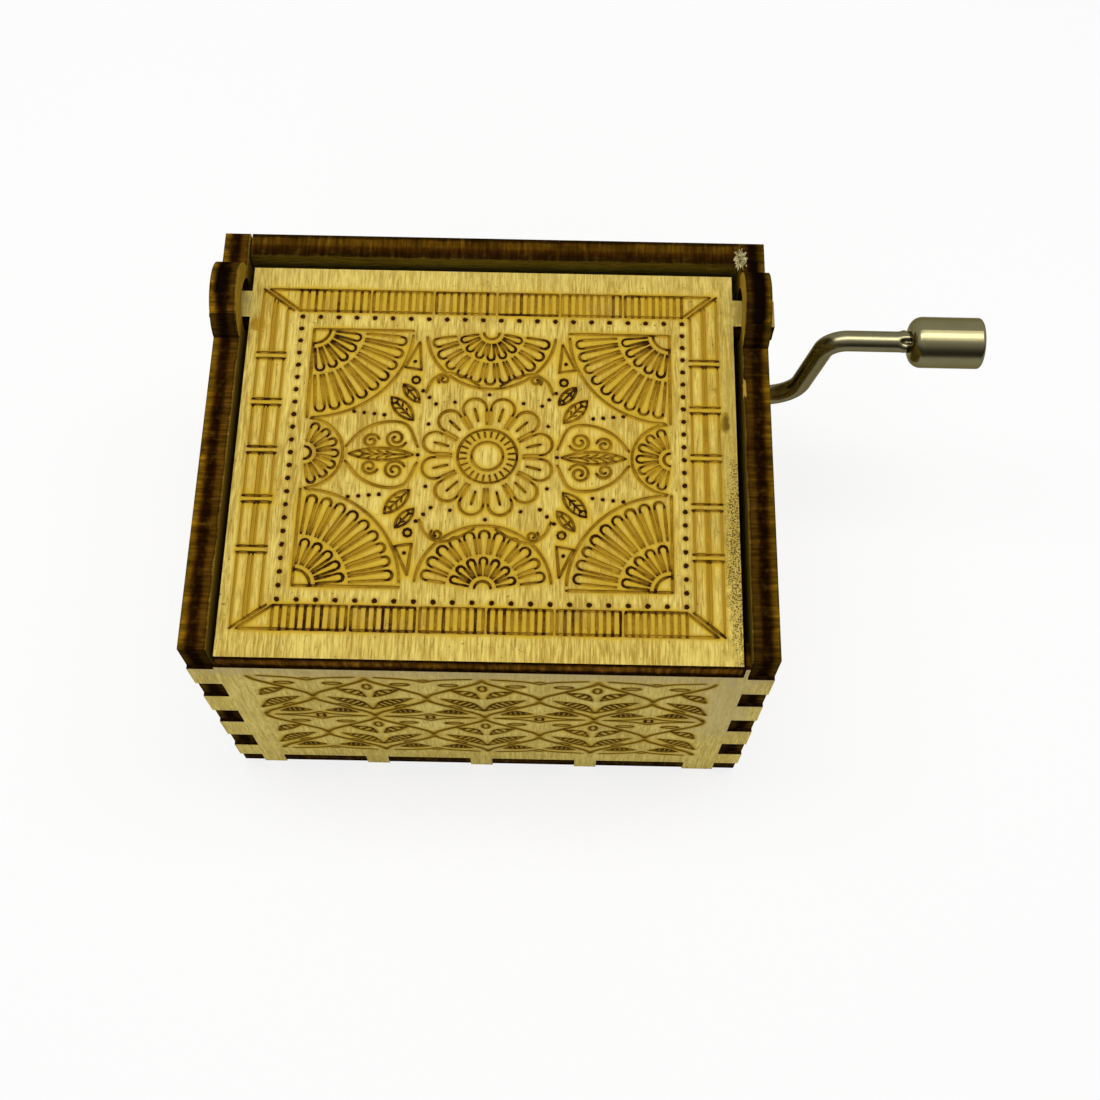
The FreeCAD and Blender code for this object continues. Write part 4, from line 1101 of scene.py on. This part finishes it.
def burnt_edge(name, axis, outer, inner, bands, shade=1.0, seed=0.0, charred=()):
    """A laser-cut edge of three-layer plywood: bands through it, fine ticks and charred places. Its shade
    darkens it all as painted shade.
    """
    n = new_material(name)
    through = n.maths("DIVIDE", n.minus(n.coordinate(axis), outer * MM), (inner - outer) * MM)
    wander = n.minus(n.noise(n.place(shift=(seed, 0, 0)), 420.0, 3.0, 0.65), 0.5)
    through = n.plus(through, n.times(wander, 0.2))
    layers = n.ramp(through, [(place, shaded(tint, shade)) for place, tint in bands])
    mottle = n.noise(n.place(shift=(0.7, seed, 0.9)), 1100.0)
    layers = n.mix(n.ramp(mottle, [(0.52, 0.0), (0.72, 0.2)]), layers, shaded(MOTTLE, shade))
    ticks = n.noise(n.place(grain_scale(axis, along=0.12), (0.3 + seed, 0.1, 0.2)), 2000.0)
    lit = n.exponential(n.times(n.minus(ticks, 0.5), 3.6))
    layers = n.add("VectorMath", {"operation": "SCALE"}, Vector=layers, Scale=lit).outputs["Vector"]
    char = n.noise(n.place(shift=(0.7, 0.2, seed)), 260.0)
    layers = n.mix(n.ramp(char, [(0.48, 0.0), (0.72, 0.7)]), layers, shaded(CHAR, shade))
    for centre, radii in charred:
        core = n.ramp(through, [(0.1, 0.15), (0.3, 1.0), (0.7, 0.9), (0.9, 0.15)])
        layers = n.mix(n.times(core, n.patch(centre, radii, 1.0)), layers, SOOT)
    n.surface(layers, rough=0.85, shine=0.0)
    n.bump(ticks, 0.00005, 0.5)
    return n.owner


def metal(name, tint, rough, axis, seed, wear=0.25, rim=(1.0, 1.0, 1.0), marked=0.35):
    """A plated or turned metal, with fine marks around an axis and soft smudges."""
    uneven_rough = 0.12
    n = new_material(name)
    marks = n.noise(n.place(grain_scale(axis, fine=0.03), (seed, seed, seed)), 9000.0, 2.0, 0.5)
    smudges = n.noise(n.place(shift=(seed, 0, 0)), 420.0)
    base = n.mix(n.ramp(smudges, [(0.35, 0.0), (0.75, wear)]), tint, shaded(tint, 0.72))
    n.surface(base, n.plus(n.times(smudges, uneven_rough), rough - uneven_rough / 2))
    n.shader.inputs["Metallic"].default_value = 1.0
    n.shader.inputs["Specular Tint"].default_value = (*rim, 1.0)
    n.bump(marks, 0.00001, marked)
    return n.owner


def plastic(name, tint):
    n = new_material(name)
    cloud = n.noise(n.place(), 400.0)
    n.surface(n.mix(cloud, tint, shaded(tint, 0.9)), rough=0.45)
    n.bump(cloud, 0.00002, 0.3)
    return n.owner


def dried_glue():
    """Dried white glue, thin over the burnt wood in places."""
    n = new_material("dried_glue")
    cloud = n.noise(n.place(shift=(0.4, 0.2, 0.1)), 2600.0)
    base = n.ramp(cloud, [(0.36, (84, 66, 22)), (0.46, (150, 138, 84)), (0.6, (180, 172, 120))])
    n.surface(base, rough=0.55)
    n.bump(cloud, 0.0001, 0.7)
    return n.owner


# ---------------------------------------------------------------- plywood panels
# Marks on the wood are (centre, radii, colour, strength), in millimetres: stains, and patches of painted
# shade.

LID_MARKS_AND_SHADE = [
    ((0, 27.5, 40.6), (60, 8.6, 3), (216, 196, 112), 0.3),
    ((-31.5, 17.6, 40.6), (3.6, 3.4, 3), (160, 146, 92), 0.75),
    ((31.5, 17.6, 40.6), (3.6, 3.4, 3), (170, 146, 70), 0.7),
    ((-27.3, 14.8, 40.6), (1.5, 1.0, 2), (168, 124, 12), 0.8),
    # painted shade: the lid's right margin, darker where less light falls
    ((28.8, -4, 40.6), (4.6, 26, 3), (172, 148, 66), 0.6),
    ((26.9, 3.0, 40.6), (0.8, 1.4, 2), (100, 74, 10), 0.95),
    ((26.0, 7.3, 40.6), (0.5, 0.5, 2), (120, 96, 26), 0.7),
]
LID_DUST = [((27.9, -14, 40.6), (1.6, 15, 3))]
FRONT_PAINTED_SHADE = [
    # painted shadow of the lid along the top of the front
    ((0, -26.4, 39), (60, 4, 6), (178, 160, 116), 0.6),
    # painted shade on the right end of the front
    ((27, -26.4, 26), (5, 4, 14), (186, 168, 120), 0.5),
]
WALL_GOLDEN, WALL_BROWN = (198, 164, 46), (122, 92, 20)
LEFT_CHAR = [((-30.5, 17, 45), (9, 4, 4))]
RIGHT_CHAR = [((30.5, 18, 45), (9, 9.5, 6))]
# painted shade: the edges that face the front are drawn darker by this share
FRONT_END_SHADE = 0.62

LID_LIGHT, LID_DARK = (226, 202, 105), (174, 143, 56)
LID_WOOD = wood_face("lid_veneer", "Y", LID_LIGHT, LID_DARK, 0.11, marks=LID_MARKS_AND_SHADE, dusty=LID_DUST)
LID_GROOVE = groove("lid_engraving", (176, 138, 34), (124, 90, 14), (46, 24, 3), 0.21)
LID_UNDERSIDE = smoked_face("lid_underside", "Y", (206, 182, 104), (168, 140, 66), 0.71)
FRONT_WOOD = wood_face(
    "front_veneer", "Z", (220, 200, 110), (184, 160, 76), 0.37, WALL_GOLDEN, WALL_BROWN, FRONT_PAINTED_SHADE
)
SIDE_WOOD = wood_face("side_veneer", "Z", (212, 190, 114), (174, 150, 82), 0.53, WALL_GOLDEN, WALL_BROWN)
BOTTOM_WOOD = wood_face("bottom_veneer", "X", (204, 184, 112), (166, 144, 78), 0.83)
WALL_GROOVE = groove("front_engraving", (154, 122, 28), (124, 96, 16), (74, 50, 6), 0.43)
# the inner faces of the front and back walls: smoke-tanned wood, drawn dark as painted shade inside the
# case
SMOKED_SHADED_WALL = smoked_face("smoked_shaded_wall", "X", (104, 88, 20), (70, 56, 10), 0.61)
# the sides' inner faces: smoke-tanned wood, with painted shade below the top of the case
SMOKED_SHADED_SIDE = smoked_face("smoked_shaded_side", "Y", (186, 154, 44), (140, 110, 22), 0.67, (76, 58, 10))


def edge_pair(name, axis, outer, inner, bands, seed, shade=1.0, charred=()):
    """A panel's edge finish, and the same one darker, as painted shade, for the ends that face the front.
    """
    side = burnt_edge(name + "_edges", axis, outer, inner, bands, shade, seed, charred)
    return side, burnt_edge(name + "_front_edges", axis, outer, inner, bands, FRONT_END_SHADE, seed + 0.5)


def joint_place(name):
    """A joint's place in millimetres."""
    joint = next(j for j in frame["joints"] if j["name"] == name)
    return Vector(joint["pos_m"]) / MM


def make_lid():
    edge = burnt_edge("lid_edges", "Z", LID_LOW.z, LID_HIGH.z, LID_BANDS, seed=0.1)
    materials = [LID_WOOD, edge, LID_GROOVE, LID_UNDERSIDE, edge]
    engrave("lid_plywood", "lid", (0, 0, 1), LID_HIGH.z, lid_border() + lid_field(), "lid", materials)


def make_wall(side, normal, outer, inner, strokes, seed, shade=1.0, charred=()):
    """An engraved wall, whose outer and inner faces lie at these places on its axis."""
    if normal[0]:
        axis, bands, veneer, smoked_and_shaded = "X", SIDE_BANDS, SIDE_WOOD, SMOKED_SHADED_SIDE
    else:
        axis, bands, veneer, smoked_and_shaded = "Y", WALL_BANDS, FRONT_WOOD, SMOKED_SHADED_WALL
    edge, front_edge = edge_pair(side, axis, outer, inner, bands, seed, shade, charred)
    materials = [veneer, edge, WALL_GROOVE, smoked_and_shaded, front_edge]
    level = outer * sum(normal)
    engrave(side + "_plywood", side + "_panel", normal, level, strokes, "case", materials)


def make_panels():
    make_lid()
    long_lattice, short_lattice = ogee_lattice(LONG_LATTICE), ogee_lattice(SHORT_LATTICE)
    crank = joint_place("crank_spin")

    def clear_of_crank(point):
        return math.dist(point, (crank.y, crank.z)) > CRANK_CLEARANCE

    # the number after a wall's seed darkens its edges as painted shade: a little on the left, more at the
    # back, most on the right
    make_wall("front", (0, -1, 0), FRONT_LOW.y, FRONT_LOW.y + PLY, long_lattice, 0.2)
    make_wall("back", (0, 1, 0), BACK_HIGH.y, BACK_LOW.y, long_lattice, 0.3, 0.88)
    make_wall("left", (-1, 0, 0), LEFT_LOW.x, LEFT_HIGH.x, short_lattice, 0.4, 0.96, LEFT_CHAR)
    around_crank = clipped(densified(short_lattice), clear_of_crank)
    make_wall("right", (1, 0, 0), RIGHT_HIGH.x, RIGHT_LOW.x, around_crank, 0.5, 0.82, RIGHT_CHAR)
    edge, front_edge = edge_pair("bottom", "Z", 0.0, PLY, LID_BANDS, 0.6)
    materials = [BOTTOM_WOOD, edge, WALL_GROOVE, BOTTOM_WOOD, front_edge]
    plain_panel("bottom_plywood", "bottom_panel", (0, 0, 1), "case", materials)


# ---------------------------------------------------------------- the crank's wire and the movement

NICKEL_ROUGH, NICKEL_RIM = 0.21, (0.5, 0.47, 0.38)


def rounded_path(corners, radii):
    """Points along a wire that runs straight between its corners and bends round each of them."""
    path = [corners[0]]
    for before, corner, after, radius in zip(corners, corners[1:], corners[2:], radii):
        back, ahead = (before - corner).normalized(), (after - corner).normalized()
        half = back.angle(ahead) / 2
        centre = corner + (back + ahead).normalized() * radius / math.sin(half)
        reach = radius / math.tan(half)
        first = (corner + back * reach - centre).normalized()
        last = (corner + ahead * reach - centre).normalized()
        count = math.ceil(radius * (math.pi - 2 * half) / WIRE_STEP)
        path += [centre + first.slerp(last, i / count) * radius for i in range(count + 1)]
    path.append(corners[-1])
    fine = [path[0]]
    for a, b in zip(path, path[1:]):
        count = max(1, round((b - a).length / WIRE_STEP))
        fine += [a.lerp(b, i / count) for i in range(1, count + 1)]
    return fine


def radius_at(x):
    if x < WIRE_START - WIRE_STEP / 2:
        return TENON_RADIUS
    return HEAD_RADIUS if x > WIRE_END - HEAD_LENGTH else WIRE_RADIUS


def crimp_at(x, angle):
    """How far the crimp moves the wire's surface out or in, at an angle in degrees from the top."""

    def near(middle, spread):
        off = (angle - middle + 180) % 360 - 180
        return math.exp(-((off / spread) ** 2))

    ears = EAR_RISE * (near(EAR_ANGLE, EAR_SPREAD) + near(-EAR_ANGLE, EAR_SPREAD))
    dents = DENT_SINK * (near(DENT_ANGLE, DENT_SPREAD) + near(180 - DENT_ANGLE, DENT_SPREAD))
    by_ear = math.exp(-(((x - EAR_X) / EAR_HALF) ** 2))
    by_dent = math.exp(-(((x - DENT_X) / DENT_HALF) ** 4))
    return ears * by_ear - dents * by_dent


def wire_rings(mesh, path, side):
    """Rings of vertices along the wire. Where its radius changes, two of them share a place."""
    stations = []
    for i, point in enumerate(path):
        along = (path[min(i + 1, len(path) - 1)] - path[max(i - 1, 0)]).normalized()
        radius = radius_at(point.x)
        if stations and stations[-1][2] != radius:
            stations.append((point, along, stations[-1][2]))
        stations.append((point, along, radius))
    rings = []
    for point, along, radius in stations:
        up = side.cross(along)
        verts = []
        for j in range(WIRE_SIDES):
            degrees = 360 * j / WIRE_SIDES
            angle = math.radians(degrees)
            reach = radius + crimp_at(point.x, degrees)
            place = point + (up * math.cos(angle) + side * math.sin(angle)) * reach
            verts.append(mesh.verts.new(place * MM))
        rings.append(verts)
    return rings


def make_wire():
    """The crank's wire as a fine tube: its tenon in the shaft, two bends, the crimp and its head."""
    axis, handle = joint_place("crank_spin"), joint_place("knob_spin")
    foot = Vector((0, axis.y, axis.z))
    top = Vector((0, handle.y, handle.z))
    side = Vector((1, 0, 0)).cross(top - foot).normalized()
    corners = [
        foot + Vector((WIRE_START - TENON_LENGTH, 0, 0)),
        foot + Vector((WIRE_CORNER, 0, 0)),
        top + Vector((WIRE_CORNER + WIRE_LEG_RUN, 0, 0)),
        top + Vector((WIRE_END, 0, 0)),
    ]
    mesh = bmesh.new()
    rings = wire_rings(mesh, rounded_path(corners, WIRE_BENDS), side)
    for lower, upper in zip(rings, rings[1:]):
        for j in range(WIRE_SIDES):
            k = (j + 1) % WIRE_SIDES
            mesh.faces.new([lower[j], lower[k], upper[k], upper[j]])
    mesh.faces.new(rings[0][::-1])
    mesh.faces.new(rings[-1])
    nickel = metal("crank_nickel", (112, 106, 80), NICKEL_ROUGH, "X", 1.3, 0.3, NICKEL_RIM, 0.12)
    wire = add_piece(mesh, "crank_wire_bent", [nickel], "crank", "crank_wire")
    wire.data.shade_smooth()
    wire.data.set_sharp_from_angle(angle=math.radians(SHARP_ANGLE))


def dress_movement():
    zinc = metal("cast_zinc", (168, 168, 166), 0.48, "Z", 0.3, 0.4)
    steel = metal("comb_steel", (190, 190, 192), 0.3, "Y", 0.5)
    screws = metal("screw_steel", (196, 196, 192), 0.28, "Z", 0.7)
    brass = metal("drum_brass", (212, 178, 96), 0.26, "Y", 0.9)
    lead = metal("lead", (110, 112, 116), 0.6, "Z", 1.1, 0.5)
    nylon = plastic("white_nylon", (232, 230, 218))
    knob = metal("knob_nickel", (116, 110, 80), NICKEL_ROUGH, "X", 1.5, 0.25, NICKEL_RIM)
    finishes = {
        zinc: ["bedplate", "gear_frame", "bearing_post"],
        steel: ["comb", "drum_pins", "drum_arbor", "worm_shaft"],
        screws: ["comb_screws", "frame_screws", "case_screws", "shaft_collars"],
        brass: ["drum_sleeve", "drum_front_plate", "drum_back_plate", "worm", "comb_washers"],
        lead: ["comb_weights"],
        nylon: ["drum_wheel"],
        knob: ["crank_knob"],
    }
    for material, nodes in finishes.items():
        for node in nodes:
            slots = frame["nodes"][node].data.materials
            slots.clear()
            slots.append(material)


# ---------------------------------------------------------------- glue and a splinter


def crust(name, centre, reach, height, finish, spokes, loops, ragged):
    """A ragged, uneven lump that lies on the panels' top edges."""
    rim = [random.uniform(1 - ragged, 1.0) for _ in range(spokes)]
    mesh = bmesh.new()
    rows = []
    for loop in range(1, loops + 1):
        share = loop / loops
        row = []
        for j in range(spokes):
            angle = 2 * math.pi * j / spokes
            out = share * (1 + (rim[j] - 1) * share)
            rise = height * (1 - share**2) * random.uniform(0.35, 1.0) - SUNK * (loop == loops)
            x = centre[0] + reach[0] * out * math.cos(angle)
            y = centre[1] + reach[1] * out * math.sin(angle)
            row.append(mesh.verts.new(Vector((x, y, centre[2] + rise)) * MM))
        rows.append(row)
    for inner, outer in zip(rows, rows[1:]):
        for j in range(spokes):
            k = (j + 1) % spokes
            mesh.faces.new([inner[j], outer[j], outer[k], inner[k]])
    mesh.faces.new(rows[0])
    mesh.faces.new(rows[-1][::-1])
    bmesh.ops.triangulate(mesh, faces=mesh.faces)
    add_piece(mesh, name, [finish], "case")


# ---------------------------------------------------------------- camera, light and floor


def make_camera():
    data = bpy.data.cameras.new("camera")
    data.lens = CAMERA_LENS
    data.sensor_width = CAMERA_SENSOR
    data.clip_start, data.clip_end = CAMERA_CLIP
    camera = bpy.data.objects.new("camera", data)
    camera.location = CAMERA_PLACE
    camera.rotation_euler = tuple(math.radians(a) for a in CAMERA_TURN)
    SCENE.collection.objects.link(camera)
    SCENE.camera = camera


def area_light(name, place, target, size, power):
    """A soft box: a rectangle of light, wide along X, that points at a target."""
    data = bpy.data.lights.new(name, "AREA")
    data.shape = "RECTANGLE"
    data.size, data.size_y = size
    data.energy = power
    lamp = bpy.data.objects.new(name, data)
    lamp.location = place
    lamp.rotation_euler = (Vector(target) - Vector(place)).to_track_quat("-Z", "Y").to_euler()
    SCENE.collection.objects.link(lamp)
    return lamp


def make_lights():
    """A lamp above that only reflections see, the key light and a fill light from the front."""
    glint = area_light(*GLINT)
    glint.visible_diffuse = False
    area_light(*KEY)
    area_light(*FILL)


def make_world():
    """White where it is seen, and dimmer as a light."""
    n = Nodes(bpy.data.worlds.new("studio"))
    SCENE.world = n.owner
    strength = n.add("MapRange", Value=n.camera_or_glossy(), To_Min=WORLD_LIGHT, To_Max=1.0)
    background = n.tree.nodes["Background"]
    n.link(background.inputs["Color"], (1, 1, 1, 1))
    n.link(background.inputs["Strength"], strength.outputs[0])


def studio_sheet(name, corners, n, surface):
    """A flat piece of the studio, with a material whose nodes end in this surface."""
    n.tree.links.new(surface, n.tree.nodes["Material Output"].inputs["Surface"])
    data = bpy.data.meshes.new(name)
    data.from_pydata(corners, [], [(0, 1, 2, 3)])
    data.materials.append(n.owner)
    sheet = bpy.data.objects.new(name, data)
    SCENE.collection.objects.link(sheet)
    return sheet


def make_floor():
    """A white floor that stays white to the camera and keeps a soft shadow."""
    half = FLOOR_REACH
    n = new_material("floor_white")
    n.tree.nodes.remove(n.shader)
    diffuse = n.add("BsdfDiffuse", Color=(1, 1, 1, 1)).outputs[0]
    mixed = n.add("MixShader")
    n.link(mixed.inputs[0], n.times(n.camera_or_glossy(), FLOOR_GLOW))
    n.link(mixed.inputs[1], diffuse)
    n.link(mixed.inputs[2], n.glow((1, 1, 1, 1)))
    corners = [(-half, -half, 0), (half, -half, 0), (half, half, 0), (-half, half, 0)]
    floor = studio_sheet("floor", corners, n, mixed.outputs[0])
    floor.location.z = -FLOOR_DROP


def make_flag():
    """A shaded card that stands in front. Only reflections show it, as the soft dark line on the metal."""
    side, front, top = CARD_SIDE, CARD_FRONT, CARD_TOP
    n = new_material("flag_shades")
    n.tree.nodes.remove(n.shader)
    shades = n.ramp(n.maths("DIVIDE", n.coordinate("Z"), top), CARD_SHADES)
    corners = [(-side, front, 0), (side, front, 0), (side, front, top), (-side, front, top)]
    flag = studio_sheet("flag", corners, n, n.glow(shades))
    flag.visible_camera = False
    flag.visible_diffuse = False
    flag.visible_transmission = False
    flag.visible_shadow = False


random.seed(SEED)
make_panels()
make_wire()
crust("glue_crust", GLUE_PLACE, GLUE_REACH, GLUE_HEIGHT, dried_glue(), spokes=44, loops=6, ragged=0.6)
crust("splinter", SPLINTER_PLACE, SPLINTER_REACH, SPLINTER_HEIGHT, LID_WOOD, spokes=18, loops=3, ragged=0.5)
dress_movement()
make_camera()
make_world()
make_lights()
make_floor()
make_flag()

SCENE.view_settings.view_transform = "Standard"
